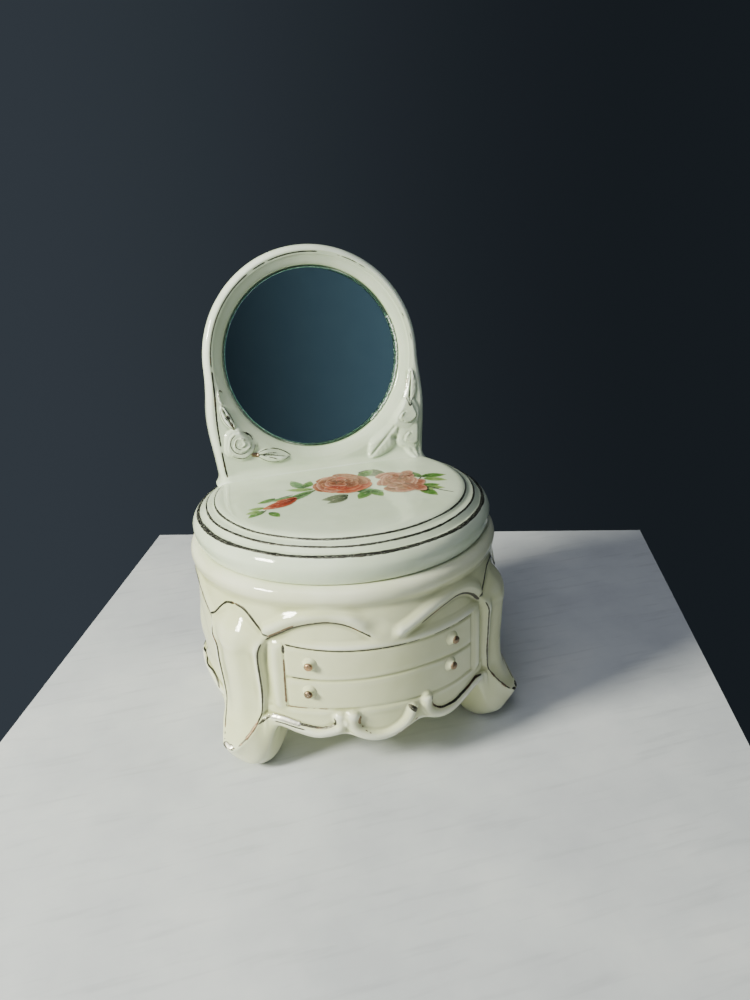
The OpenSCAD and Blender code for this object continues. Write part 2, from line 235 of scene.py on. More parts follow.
def outside(phi, z):
    """Radius of the glazed outside at an angle and a height."""
    a, q, front = fold(phi)
    u = np.abs(q - LEG_AT)
    r = drum_radius(z)

    # arches: a broad soft roll above the painted line, and a hollow below it. Both fade at the middle,
    # where the right one starts as a clear ridge
    d, _ = nearest(arches, a, z)
    arch_z = np.interp(a, arches[:, 0], arches[:, 1])
    above = z > arch_z
    in_front = ramp(44.5 - q, 0, 1.5)
    left_part = 1 - ramp(a, -14, -4)
    right_part = ramp(a, 0.6, 4.5) * (1 - 0.45 * ramp(a, 14, 34))
    rise = np.where(above, 1.25 * left_part + 1.5 * right_part, 0.0)
    r = r + rise * hump(d - 2.9, 3.3) * in_front
    r = r - 0.35 * hump(np.hypot((a + 4.5) / 5.5, (z - 60.5) / 4.0), 1.0)
    side_of_valley = 1 - 0.75 * hump(a + 0.5, 9)
    r = r - 1.0 * side_of_valley * ramp(arch_z - z, 0.0, 1.4) * ramp(z, 54.0, 57.0) * in_front
    d, _ = nearest(side_arch, q, z)
    side_z = np.interp(q, side_arch[:, 0], side_arch[:, 1])
    at_side = ramp(q, 67, 70)
    r = r + 0.6 * hump(d - 1.2 * (z > side_z), 3.0) * at_side
    r = r - 0.8 * ramp(side_z - z, 0.1, 1.5) * ramp(z, 28, 34) * at_side

    # mock drawers, their border and the post beside them
    panel = np.minimum(DRAWER_HALF - q, np.minimum(z - drawer_bottom(a), drawer_top(a) - z))
    drawers = 0.16 * hump(panel + 1.6, 2.2) - 0.42 * hump(panel, 0.8)
    drawers = drawers - 0.1 * ramp(panel, 0, 0.8)
    drawers = drawers - 0.42 * hump(z - drawer_middle(a), 0.85) * ramp(panel, 0.0, 0.6)
    post = 0.8 * hump(q - 40.0, 2.6) * ramp(z, 27, 31) * (1 - ramp(z, 51.5, 56.5))
    r = r + np.where(front, drawers * ramp(43 - q, 0, 2), 0) + post
    d, t = nearest(side_groove, q, z)
    r = r - 0.75 * hump(d, 1.7) * np.sin(math.pi * np.clip(t, 0.04, 0.96)) ** 0.5

    # carved border and scroll along the lower edge
    for line in apron_borders:
        d, t = nearest(line, a, z)
        wide = 2.1 + 0.4 * ramp(t, 0.86, 0.97)
        r = r + (1.3 + 0.5 * ramp(t, 0.8, 0.97)) * (1 - np.clip(d / wide, 0, 1) ** 2) ** 0.8
    d, t = nearest(scroll_line, a, z)
    wide = np.interp(t, np.linspace(0, 1, len(scroll_width)), scroll_width)
    r = r + (0.5 + 0.6 * wide) * (1 - np.clip(d / wide, 0, 1) ** 2) ** 0.75
    d, t = nearest(side_border, q, z)
    r = r + 1.2 * (1 - np.clip(d / 2.0, 0, 1) ** 2) ** 0.8

    # a low shell on each side panel
    x, y = (90 - q), z - 44.0
    spread = np.hypot(x / 8.5, y / 10.5)
    ribs = 0.5 + 0.5 * np.cos(7 * np.arctan2(x, y + 13))
    r = r + 0.9 * hump(spread, 1.0) * (0.65 + 0.35 * ribs) * at_side

    # the legs' panels: slabs with a tight rounded edge. They swell out of the drum at the top, and
    # fall away to a soft hollow on both sides of the shin
    d, _ = nearest(leg_right, u, z)
    d = np.where(inside(leg_outline, q - LEG_AT, z), d, -d)
    edge = 1 - (1 - np.clip((d + 0.5) / 2.2, 0, 1)) ** 2.6
    edge = edge * (1 - 0.25 * ramp(z, 56, 64) * (1 - np.clip(d / 5, 0, 1)))
    low = 1 - ramp(z, 20, 26)
    edge = edge * (1 - low) + low * ramp(11.5 - u, 0, 0.8)
    shin = ramp(z, 15, 27) * (1 - ramp(z, 49, 58))
    fall = shin * (2.3 * ramp(u, 0.5, 8.8) - 0.8 * ramp(u, 8.2, 10.6))
    fall = fall + ramp(z, 49, 58) * 3.2 * ramp(u, 2, 14)
    return r + (np.maximum(leg_radius(z) - fall, r + 0.25) - r) * edge


test = outside(np.array([0.0, 56.0, 56.0, 90.0]), np.array([46.0, 46.0, 9.0, 46.0]))
print("radius at drawers, leg, toe and side:", np.round(test, 1))

# %% [markdown]
# ## A skin from columns of points
#
# The casting has no separate shell, so one closed strip of points runs from the middle of the inside
# floor, up the inner wall, over the rim, down the carved outside, under the apron or round a foot,
# and back to the middle underneath. The same strip at every angle makes a closed grid of quads.
# Columns stand closer where the carving is, and rows lie closer at the drawers' edges.

# %% Grid to mesh


def grid_mesh(name, points, poles=(True, True)):
    """A closed object from rows x columns of points in millimetres; columns wrap round.
    A first or last row that is a pole shrinks to one point."""
    rows, columns = points.shape[:2]
    verts = [tuple(p) for p in points.reshape(-1, 3) * MM]
    faces = []
    for i in range(rows - 1):
        for j in range(columns):
            k = (j + 1) % columns
            faces.append((i * columns + j, i * columns + k, (i + 1) * columns + k, (i + 1) * columns + j))
    mesh = bpy.data.meshes.new(name)
    if poles[0]:
        verts.append(tuple(points[0].mean(0) * MM))
        faces += [(len(verts) - 1, (j + 1) % columns, j) for j in range(columns)]
    if poles[1]:
        verts.append(tuple(points[-1].mean(0) * MM))
        last = (rows - 1) * columns
        faces += [(len(verts) - 1, last + j, last + (j + 1) % columns) for j in range(columns)]
    mesh.from_pydata(verts, [], faces)
    return finish_mesh(name, mesh)


def show(name, data):
    """An object at the origin, in the scene, that holds a mesh, a light or a camera."""
    thing = bpy.data.objects.new(name, data)
    bpy.context.scene.collection.objects.link(thing)
    return thing


def finish_mesh(name, mesh):
    """Points every face outwards, shades it smooth and links an object at the origin."""
    shape = bmesh.new()
    shape.from_mesh(mesh)
    bmesh.ops.recalc_face_normals(shape, faces=shape.faces)
    shape.to_mesh(mesh)
    shape.free()
    mesh.shade_smooth()
    return show(name, mesh)


def spaced(low, high, density):
    """Positions from low to high, closer together where density is high."""
    x = np.linspace(low, high, 8000)
    share = np.concatenate([[0], np.cumsum(0.5 * (density(x[1:]) + density(x[:-1])) * np.diff(x))])
    return np.interp(np.arange(int(share[-1]) + 1) / int(share[-1]) * share[-1], share, x)


def column_density(phi):
    """Columns per degree: fine over the front, and finest beside legs and drawers."""
    a, q, front = fold(phi)
    base = np.where(front & (q < 74), 1.75, 1.15)
    return base + 0.9 * (hump(q - 46, 3) + hump(q - 66, 3)) + 0.9 * front * hump(q - 36, 2)


def row_density(z):
    """Rows per millimetre of height: fine at the drawers' edges and under the arches."""
    return 1.7 + 1.6 * (hump(z - 41.7, 2.2) + hump(z - 53.3, 3)) + hump(z - 60, 6)


SKIRT_TOP = 31
RIM_TOP = 76
FLOOR_Z = 27.0
UNDERSIDE_Z = 22.5
columns = spaced(-180, 180, column_density)[:-1]
outer_rows = spaced(SKIRT_TOP, RIM_TOP, row_density)[::-1]
skirt_rows = np.linspace(0, 1, 31)[1:]
print(len(columns), "columns,", len(outer_rows) + len(skirt_rows), "rows outside")


def lower_edge(phi):
    """Height of the carved outside's lower edge: apron, side or the outline of a leg's toe."""
    a, q, front = fold(phi)
    u = np.abs(q - LEG_AT)
    toe = np.interp(u, leg_side_line[:, 0], leg_side_line[:, 1])
    toe = np.where(u > 9.4, 60, toe)
    skirt = np.where(q < LEG_AT, apron_edge(a), side_edge(q))
    return np.minimum(toe, skirt)


def keel(phi):
    """How far the casting is drawn down into a foot: 1 in a leg's middle, 0 clear of it."""
    a, q, front = fold(phi)
    u = np.clip(np.abs(q - LEG_AT) / 12.4, 0, 1)
    return np.sqrt(1 - u ** 3.2)


edge_z = lower_edge(columns)
edge_r = outside(columns, edge_z)
depth = keel(columns)[:, None]
# from the apron's edge inwards: steps in radius and height, and the highest the point may be
apron_steps = [(0, 0, 99), (-0.5, -0.9, 99), (-1.5, -1.4, 99), (-2.6, -1.3, 99), (-3.6, -0.8, 99),
               (-4.3, 0.2, 21.6), (-4.7, 1.4, 21.9), (-5.0, 2.4, 22.2), (-5.7, 3, 22.4), (-8.5, 3, 22.5)]
apron_under = np.stack([np.stack([edge_r + dr, np.minimum(edge_z + dz, top)], 1)
                        for dr, dz, top in apron_steps], 1)
# under a foot: radius and height from the toe to the middle
foot_line = np.array([(0, 0), (66.6, 8.2), (63.6, 4.7), (60.4, 2.2), (56.8, 0.3), (52.4, -0.4),
                      (47.6, 1.6), (42.4, 7.0), (38.6, 14.5), (36.6, UNDERSIDE_Z)])
foot_under = np.repeat(foot_line[None], len(columns), 0)
foot_under[:, 0] = apron_under[:, 0]
foot_under[:, 1] = 0.55 * foot_under[:, 0] + 0.45 * foot_under[:, 2] + [0.4, -0.6]
tuck = np.array([0, 0.7, 0.6, 0.0, -1.2, -3.4, -6.5, -9.0, -12.0, -15.0])
foot_under[:, :, 0] = np.minimum(foot_under[:, :, 0], edge_r[:, None] + tuck)
under = apron_under * (1 - depth[:, :, None]) + foot_under * depth[:, :, None]
SOFTEN_ROUNDS = 9
for _ in range(SOFTEN_ROUNDS):
    beside = sum(w * np.roll(under, k, axis=0) for k, w in ((-2, 1), (-1, 2), (0, 3), (1, 2), (2, 1))) / 9
    under[:, 1:] = beside[:, 1:]
under_rows = []
last = under.shape[1] - 1
for b in range(last):
    pa, pb, pc = under[:, max(b - 1, 0)], under[:, b], under[:, b + 1]
    pd = under[:, min(b + 2, last)]
    for t in (0.34, 0.67, 1.0):
        under_rows.append(pb + 0.5 * t * ((pc - pa) + t * ((2 * pa - 5 * pb + 4 * pc - pd)
                          + t * (3 * pb - pa - 3 * pc + pd))))
inner_wall = smooth([(46, FLOOR_Z), (50.2, 27.3), (52.5, 29.0), (53.4, 32.5), (53.5, 45), (53.5, 62),
                     (53.0, 66.5), (51.9, 69), (51.8, 74.6), (52.5, 75.8), (54.0, RIM_TOP)], 2.2)

turns = np.radians(columns)
compass = np.stack([np.sin(turns), -np.cos(turns), np.zeros(len(turns))], 1)
up = np.array([0, 0, 1.0])
rows = [compass * r + up * FLOOR_Z for r in (15.0, 32.0)]
rows += [compass * r + up * z for r, z in inner_wall]
relief = []
for z in outer_rows:
    heights = np.full(len(columns), z)
    relief.append((outside(columns, heights), heights))
for t in skirt_rows:
    heights = SKIRT_TOP + (edge_z - SKIRT_TOP) * t
    relief.append((outside(columns, heights), heights))
rows += [compass * r[:, None] + up * z[:, None] for r, z in relief]
rows += [compass * p[:, :1] + up * np.maximum(p[:, 1:], 0.0) for p in under_rows]
rows += [compass * r + up * UNDERSIDE_Z for r in (34.0, 18.0)]
base_grid = np.array(rows)
base_casting = grid_mesh("base_casting", base_grid)
print("base casting:", len(base_casting.data.polygons), "faces, top at", round(base_grid[..., 2].max(), 2))

# %% [markdown]
# ## How deep the glaze lies, and its painted shade
#
# Molten glaze runs off edges and gathers in hollows, so a glazed relief is paler on its edges and
# richer in its creases. The richer, darker hollows are also painted shade, for the shade that falls in
# the creases. A number at every vertex can carry that to the material. It compares each vertex with
# its neighbours: one that stands above them is an edge, and one below them is a hollow. A few rounds
# of averaging spread it as wide as glaze flows, about a millimetre.

# %% Glaze depth and painted shade attribute


def mark_glaze_and_shade(thing, rounds=14, strength=7.0):
    """Stores the attribute glaze, between -1 and 1: above 0 in hollows, where it paints shade, below 0 on
    edges.
    """
    mesh = thing.data
    count = len(mesh.vertices)
    place = np.empty(count * 3)
    mesh.vertices.foreach_get("co", place)
    place = place.reshape(-1, 3) / MM
    normal = np.empty(count * 3)
    mesh.vertices.foreach_get("normal", normal)
    normal = normal.reshape(-1, 3)
    pairs = np.empty(len(mesh.edges) * 2, int)
    mesh.edges.foreach_get("vertices", pairs)
    a, b = pairs.reshape(-1, 2).T
    gap = place[b] - place[a]
    length = np.maximum((gap ** 2).sum(1), 1e-4)
    weight = np.bincount(a, minlength=count) + np.bincount(b, minlength=count)
    bend = np.bincount(a, (gap * normal[a]).sum(1) / length, count)
    bend -= np.bincount(b, (gap * normal[b]).sum(1) / length, count)
    value = np.clip(bend / weight, -1.0, 1.0)
    for _ in range(rounds):
        spread = np.bincount(a, value[b], count) + np.bincount(b, value[a], count)
        value = 0.4 * value + 0.6 * spread / weight
    value = np.clip(value * strength, -1, 1)
    layer = mesh.attributes.new("glaze", "FLOAT", "POINT")
    layer.data.foreach_set("value", value)
    return value


# the base's hollows get pooled glaze colour and painted shade
glaze = mark_glaze_and_shade(base_casting)
print("glaze on the base from", round(float(glaze.min()), 2), "to", round(float(glaze.max()), 2))

# %% [markdown]
# ## The lid
#
# The lid is thrown or jiggered, so it is a turned shape: a nearly flat top, two narrow steps, a round
# shoulder that overhangs the drum, and a flange underneath that centres it in the rim. It could be a
# Screw modifier on a profile, but a grid of points gives closed poles and even quads at once.

# %% Lid casting
lid_flat = [(9, 91.75), (22, 91.65), (36, 91.4), (44, 91.1), (46.6, 90.6)]
lid_profile = smooth([*lid_flat, (47.7, 89.95), (48.6, 89.25), (49.6, 88.95), (50.6, 88.6),
                      (51.7, 87.6), (52.7, 86.75), (53.7, 86.45), (54.5, 86.05),
                      (55.5, 84.9), (56.2, 83.5), (56.4, 82.1), (56.1, 79.9), (55.4, 77.8),
                      (54.5, 76.5), (53.2, 76.2), (51.5, 76.2)], 0.45)
lid_inside = smooth([(50.8, 75.4), (50.8, 71.0), (50.2, 70.05), (48.2, 70.0), (47.1, 70.8), (47.0, 77),
                     (46.9, 83.2), (45.2, 85.6), (42.0, 86.2), (26, 86.2), (10, 86.2)], 1.6)
LID_COLUMNS = 384
lid_turns = np.radians(np.linspace(0, 360, LID_COLUMNS, endpoint=False))
lid_compass = np.stack([np.sin(lid_turns), -np.cos(lid_turns), np.zeros(LID_COLUMNS)], 1)
lid_rows = [lid_compass * r + up * z for r, z in np.vstack([lid_profile, lid_inside])]
lid_casting = grid_mesh("lid_casting", np.array(lid_rows))
mark_glaze_and_shade(lid_casting, 10, 4.0)
lid_height = profile([(0, 91.8), *lid_flat, (49, 89.1)])
print("lid casting:", len(lid_casting.data.polygons), "faces")

# %% [markdown]
# ## The mirror frame and its roses
#
# The frame is cast with the lid. It has its own flat drawing that leans back with the mirror: x to the
# right, v up along the lean, and w out towards the viewer, with the glass's front at w = 0.
# Its columns of points run out from the middle of the glass, so the round recess stays round and the
# outline can be any shape. A low relief of a rose and leaves fills each lower corner.

# %% Relief of roses and leaves


def leaf_relief(x, v, base, tip, half_width, height):
    """A raised leaf from base to tip, with a sunk midrib and side veins."""
    axis = np.subtract(tip, base)
    length = math.hypot(*axis)
    axis = axis / length
    along = ((x - base[0]) * axis[0] + (v - base[1]) * axis[1]) / length
    across = (v - base[1]) * axis[0] - (x - base[0]) * axis[1]
    shape = half_width * np.sin(math.pi * np.clip(along, 0, 1)) ** 0.7
    t = np.clip(np.abs(across) / np.maximum(shape, 1e-3), 0, 1)
    body = (1 - t ** 3) ** 0.6 * ramp(shape, 0, 0.7)
    veins = 0.10 * np.sin(along * length * 2.4 - np.abs(across) * 1.9) * t
    return body * (height - 0.40 * height * hump(across, 0.8) + veins)


def rose_relief(x, v, centre, size, height, turns=2.6):
    """A raised rose whose petals step up in a spiral towards the heart."""
    dx, dv = x - centre[0], v - centre[1]
    angle = np.arctan2(dv, dx)
    r = np.hypot(dx, dv) / size / (1 + 0.05 * np.cos(5 * angle + 0.7))
    dome = np.sqrt(np.clip(1 - np.clip(r, 0, 1) ** 2.8, 0, 1))
    step = (turns * np.clip(r, 0, 1) ** 0.85 - angle / (2 * math.pi) + 0.06 * np.sin(3 * angle)) % 1
    petals = 0.26 * step ** 2.2 - 0.15 * hump(step - 0.02, 0.18)
    return height * dome * (0.72 + 0.22 * (1 - r) + petals * ramp(r, 0.08, 0.2))


def frame_relief(x, v):
    """Height of the corner ornament over the frame's face."""
    left = rose_relief(x, v, (-33.0, -30.3), 6.6, 1.9, 3.1)
    leaves = leaf_relief(x, v, (-27.2, -35.4), (-13.6, -37.2), 3.3, 1.25)
    leaves = np.maximum(leaves, leaf_relief(x, v, (-34.6, -24.6), (-38.8, -14.8), 2.3, 1.1))
    leaves = np.maximum(leaves, leaf_relief(x, v, (-38.0, -14.5), (-38.6, -8.6), 1.2, 0.5))
    right = rose_relief(x, v, (35.0, -26.8), 7.4, 2.0, 1.5)
    right = np.maximum(right, rose_relief(x, v, (36.6, -35.6), 6.2, 1.6, 1.2))
    lobes = leaf_relief(x, v, (31.5, -30.0), (18.6, -42.4), 5.0, 1.35)
    lobes = np.maximum(lobes, leaf_relief(x, v, (37.2, -24.0), (39.4, -8.4), 3.0, 0.8))
    lobes = np.maximum(lobes, leaf_relief(x, v, (33.6, -35.2), (38.6, -45.0), 2.6, 0.9))
    hollow = 1.0 * hump(np.hypot(x - 29.8, v + 35.6), 2.0)
    return np.maximum(np.maximum(left, leaves), np.maximum(right, lobes)) - hollow


print("rose stands", round(float(frame_relief(np.array([-33.0]), np.array([-30.3]))[0]), 2), "mm proud")

# %% [markdown]
# ### The frame's casting
#
# Each column starts in the middle of the recess floor, climbs the recess wall, crosses the sloping
# reveal and the face, rolls over the rim and ends in the middle of the back. Below the glass the
# outline dips into the lid, and points near the lid are pushed outwards a little, which makes the
# soft fillet that slip and glaze leave in such a joint.

# %% Frame casting
CREST_W = 3.0
BACK_W = -6.5
ARCH_R = 43.4
RECESS_W = -2.42
arc_angles = np.linspace(0, math.pi, 300, endpoint=False)
outline = [(ARCH_R * math.cos(t), ARCH_R * math.sin(t)) for t in arc_angles]
side_drop = smooth([(ARCH_R, 0), (43.5, -6), (44.0, -13), (44.4, -20), (44.0, -27), (43.0, -35),
                    (42.3, -42), (42.0, -46.5), (40.6, -48.3)], 0.5)
bottom = np.stack([np.linspace(-40.0, 40.0, 110), np.full(110, -48.4)], 1)
outline = np.vstack([outline, side_drop[1:] * [-1, 1], bottom, side_drop[::-1][:-1]])
reach = np.hypot(outline[:, 0], outline[:, 1])
aim = outline / reach[:, None]

sections = []
recess = [(12, RECESS_W), (26, RECESS_W), (34.6, RECESS_W), (35.4, -2.3), (35.5, -1.6), (35.5, -0.6)]
reveal = [(35.6, 0.1), (35.85, 0.5), (36.3, 0.85), (37.0, 1.25), (37.8, 1.65), (38.7, 2.1), (39.6, 2.5)]
for r, w in recess + reveal:
    sections.append((np.full(len(aim), float(r)), np.full(len(aim), float(w))))
inner = reveal[-1][0]
crest = np.maximum(reach - 2.4, 40.7)
for t in np.linspace(0, 1, 44)[1:]:
    r = inner + (crest - inner) * t
    x, v = aim[:, 0] * r, aim[:, 1] * r
    soft = ramp(t, 0.0, 0.22) * (1 - 0.7 * ramp(t, 0.86, 1.0))
    rising = 0.5 * (1 - ramp(r, 39.2, 41.6))
    sections.append((r, CREST_W - rising + frame_relief(x, v) * soft))
draft = 1.7 * ramp(np.abs(aim[:, 0]), 0.35, 0.8) * ramp(outline[:, 1], -16, 0)
for back_off, w in [(1.9, 2.85), (1.2, 2.45), (0.6, 1.8), (0.2, 0.9), (0.0, -0.4), (0.0, -2.6),
                    (0.0, -4.2), (0.35, -5.4), (1.1, -6.2), (2.3, BACK_W), (4.5, BACK_W)]:
    sections.append((reach - back_off - draft * ramp(-w, -0.5, 5.0), np.full(len(aim), float(w))))
for t in (0.12, 0.25, 0.4, 0.55, 0.7, 0.85, 1.0):
    sections.append((24.0 + (reach - 28.5) * (1 - t), np.full(len(aim), BACK_W)))
sections.append((np.full(len(aim), 9.0), np.full(len(aim), BACK_W)))


def from_frame(x, v, w):
    """Millimetres in the leaning drawing to the shared frame."""
    y = MIRROR_Y + v * math.sin(LEAN) - w * math.cos(LEAN)
    z = MIRROR_Z + v * math.cos(LEAN) + w * math.sin(LEAN)
    return np.stack([x + 0 * v, y, z], -1)


frame_rows = []
for r, w in sections:
    x, v = aim[:, 0] * r, aim[:, 1] * r
    point = from_frame(x, v, w)
    over = point[:, 2] - (lid_height(np.hypot(point[:, 0], point[:, 1])))
    flare = 2.6 * np.clip(1 - over / 3.6, 0, 1) ** 2.2
    on_front = ramp(w, 1.0, 2.8) * ramp(reach - r, -1, 4)
    on_back = ramp(-w, 4.5, 6.3)
    point[:, 1] += flare * (on_back - on_front)
    point[:, 0] += np.sign(x) * flare * 0.6 * (1 - on_front) * (1 - on_back) * ramp(np.abs(x), 36, 42)
    frame_rows.append(point)
frame_casting = grid_mesh("mirror_frame_casting", np.array(frame_rows))
frame_glaze_shade_and_light = mark_glaze_and_shade(frame_casting, 12, 4.0)
# recess wall: pool colour, pooled glaze and painted shade in the gap round the glass; reveal: painted light
pool_shade_and_light_rows = (1.0, 1.0, 0.85, 0.55, 0.25, 0.0, -0.15, -0.2)
for row, pool_shade_and_light in enumerate(pool_shade_and_light_rows, 3):
    start = row * len(aim)
    frame_glaze_shade_and_light[start:start + len(aim)] = pool_shade_and_light
frame_casting.data.attributes["glaze"].data.foreach_set("value", frame_glaze_shade_and_light)
print("frame casting:", len(frame_casting.data.polygons), "faces")

# %% [markdown]
# ## The mirror
#
# A 2 mm disc of float glass with a ground, faintly green edge stands in front of a silver film, and
# lies in the recess on cement. Glass and film are separate pieces, as on a real mirror, so that the
# edge shows the green of the glass, and reflections come from behind it.

# %% Glass, silvering and cement


def disc(name, ring):
    """A closed turned disc in the leaning drawing, from (radius, w) points."""
    t = np.linspace(0, 2 * math.pi, 192, endpoint=False)
    rows = [from_frame(r * np.cos(t), r * np.sin(t), np.full(len(t), w)) for r, w in ring]
    return grid_mesh(name, np.array(rows))


GLASS_BACK = -1.98
glass_front = [(12, 0), (33, 0), (34.4, 0), (34.5, 0), (34.62, -0.05)]
glass_rim = [(34.9, -0.35), (35.0, -0.7), (35.0, -1.8), (34.9, -1.93)]
glass_back = [(r, GLASS_BACK) for r in (34.7, 34.6, 30, 12)]
glass_disc = disc("mirror_glass_disc", glass_front + glass_rim + glass_back)
cement_front = [(10, -2.13), (28, -2.13), (34.4, -2.13), (35.2, -1.9), (35.46, -1.75)]
cement_back = [(35.48, -2.1), (35.2, -2.4), (28, -2.4), (10, -2.4)]
cement_bed = disc("cement_bed", cement_front + cement_back)
print("glass", len(glass_disc.data.polygons), "faces, cement", len(cement_bed.data.polygons))

# %% [markdown]
# ## Geometry Nodes helpers
#
# What repeats, or follows a path, is made with small node trees. One function adds a node with its
# settings and links. A tree's sizes are named inputs, set by socket identifier before the object is
# first evaluated, and the result is turned into a plain mesh.

# %% Node helpers


def add(tree, kind, settings=None, **links):
    """Adds a node, sets its properties, and fills inputs by name, or by number as in0, with values
    or sockets."""
    node = tree.nodes.new(kind)
    for key, value in (settings or {}).items():
        setattr(node, key, value)
    for key, value in links.items():
        by_number = key.startswith("in") and key[2:].isdigit()
        socket = node.inputs[int(key[2:]) if by_number else key.replace("_", " ")]
        if isinstance(value, bpy.types.NodeSocket):
            tree.links.new(value, socket)
        else:
            socket.default_value = value
    return node


def new_tree(name, inputs):
    """An empty Geometry Nodes tree with a geometry socket and the named inputs."""
    tree = bpy.data.node_groups.new(name, "GeometryNodeTree")
    tree.interface.new_socket("Geometry", in_out="OUTPUT", socket_type="NodeSocketGeometry")
    tree.interface.new_socket("Geometry", in_out="INPUT", socket_type="NodeSocketGeometry")
    for label, kind in inputs:
        tree.interface.new_socket(label, in_out="INPUT", socket_type=kind)
    return tree, tree.nodes.new("NodeGroupInput"), tree.nodes.new("NodeGroupOutput")


def run_tree(thing, tree, values, name):
    """Applies a tree to an object and returns the result as a new plain object."""
    modifier = thing.modifiers.new("nodes", "NODES")
    modifier.node_group = tree
    for item in tree.interface.items_tree:
        if item.in_out == "INPUT" and item.name in values:
            modifier[item.identifier] = values[item.name]
    bpy.context.view_layer.update()
    graph = bpy.context.evaluated_depsgraph_get()
    mesh = bpy.data.meshes.new_from_object(thing.evaluated_get(graph), depsgraph=graph)
    mesh.name = name
    result = show(name, mesh)
    thing.modifiers.remove(modifier)
    bpy.data.objects.remove(thing)
    return result


print("helpers ready")

# %% [markdown]
# ## Materials
#
# Each material starts from a real one. Colours are the sRGB hex values that a colour card would give.
# Patterns are laid out in metres on Object coordinates, so a scale of 1000 / n gives n millimetres.

# %% Colour and material helpers


def linear(code):
    """An sRGB hex colour as linear RGBA."""
    parts = [int(code[i:i + 2], 16) / 255 for i in (1, 3, 5)]
    return tuple(c / 12.92 if c <= 0.04045 else ((c + 0.055) / 1.055) ** 2.4 for c in parts) + (1.0,)


def new_material(name):
    """A material with its tree, its shader and its Object coordinates."""
    material = bpy.data.materials.new(name)
    material.use_nodes = True
    tree = material.node_tree
    shader = tree.nodes["Principled BSDF"]
    place = tree.nodes.new("ShaderNodeTexCoord").outputs["Object"]
    return material, tree, shader, place


def finish(shader, **values):
    """Sets the shader's constant sockets by name."""
    for key, value in values.items():
        shader.inputs[key.replace("_", " ")].default_value = value


def ramp_node(tree, factor, stops):
    """A Color Ramp from (position, hex colour) stops."""
    node = add(tree, "ShaderNodeValToRGB", Fac=factor)
    while len(node.color_ramp.elements) < len(stops):
        node.color_ramp.elements.new(0.5)
    for element, (position, code) in zip(node.color_ramp.elements, stops):
        element.position = position
        element.color = linear(code)
    return node.outputs["Color"]


def noise(tree, place, blob_mm, detail=2.0, roughness=0.5):
    """Soft noise between 0 and 1, in blobs of about blob_mm."""
    return add(tree, "ShaderNodeTexNoise", Vector=place, Scale=1000 / blob_mm, Detail=detail,
               Roughness=roughness).outputs[0]


def stretch(tree, value, low, high, to_low=0.0, to_high=1.0):
    """Maps low to to_low and high to to_high, clamped beyond them."""
    return add(tree, "ShaderNodeMapRange", Value=value, From_Min=low, From_Max=high, To_Min=to_low,
               To_Max=to_high).outputs[0]


def mix(tree, share, first, second, how="MIX"):
    """Mixes two colours. Each is a socket or a linear colour."""
    settings = {"data_type": "RGBA", "blend_type": how}
    return add(tree, "ShaderNodeMix", settings, in0=share, in6=first, in7=second).outputs[2]


def bump(tree, shader, height, strength, depth_mm, settings=None, **links):
    """Gives the shader a bump of depth_mm and returns the new normal."""
    node = add(tree, "ShaderNodeBump", settings, Height=height, Strength=strength,
               Distance=depth_mm * MM, **links)
    tree.links.new(node.outputs[0], shader.inputs["Normal"])
    return node.outputs[0]


print("ivory is", np.round(linear("#E8E6D2"), 2))

# %% [markdown]
# ### Glazed ivory porcelain
#
# A clear, slightly green-yellow glaze over a cream body. It is glossy (roughness about 0.07), with an
# index of 1.5 and a little light let into the body. The surface waves gently every 7 mm, as dipped
# glaze does. The glaze attribute makes edges paler and hollows richer and darker, partly pooled glaze
# and partly painted shade. There are a few iron specks and pinholes, one in about 12 mm, up to 0.4 mm
# across.

# %% Porcelain


def glazed_porcelain(name, body, edge, pool_and_shade, shade, wave_mm):
    """Glaze over a cream body: pooled colour and painted shade in hollows, a soft mottle, specks, a gentle
    wave.
    """
    material, tree, shader, place = new_material(name)
    depth = add(tree, "ShaderNodeAttribute", {"attribute_name": "glaze"}).outputs["Fac"]
    # hollows take the pool colour, pooled glaze and painted shade together; edges take the paler edge
    # colour
    pool_shade_and_light = ramp_node(tree, stretch(tree, depth, -0.9, 0.9),
                       [(0.12, edge), (0.45, body), (0.6, body), (0.9, pool_and_shade)])
    tint = stretch(tree, noise(tree, place, 26, 3.0, 0.55), 0.42, 0.72, 0.0, 0.32)
    mottled = mix(tree, tint, pool_shade_and_light, linear(shade), "MULTIPLY")
    cells = add(tree, "ShaderNodeTexVoronoi", Vector=place, Scale=1000 / 12)
    dot = stretch(tree, cells.outputs["Distance"], 0.014, 0.03, 1.0, 0.0)
    pick = add(tree, "ShaderNodeSeparateColor", Color=cells.outputs["Color"]).outputs[0]
    chosen = add(tree, "ShaderNodeMath", {"operation": "GREATER_THAN"}, in0=pick, in1=0.72).outputs[0]
    speck = add(tree, "ShaderNodeMath", {"operation": "MULTIPLY"}, in0=dot, in1=chosen).outputs[0]
    tree.links.new(mix(tree, speck, mottled, linear("#6E6552")), shader.inputs["Base Color"])
    gloss = stretch(tree, noise(tree, place, 9, 4.0), 0.35, 0.75, 0.04, 0.11)
    tree.links.new(gloss, shader.inputs["Roughness"])
    wave = bump(tree, shader, noise(tree, place, wave_mm, 1.5), 0.35, 0.5)
    bump(tree, shader, speck, 0.3, 0.1, {"invert": True}, Normal=wave)
    finish(shader, IOR=1.5, Subsurface_Weight=0.18, Subsurface_Radius=(1.0, 0.9, 0.7),
           Subsurface_Scale=1.6 * MM)
    return material


base_glaze = glazed_porcelain("ivory_glazed_porcelain", "#DFE1BA", "#EEF0DA", "#B5B78A", "#D5D9AC", 7.0)
lid_glaze = glazed_porcelain("white_glazed_porcelain", "#D9E4CA", "#E9F1E1", "#92A880", "#CCDABE", 8.0)
print("two glazes")

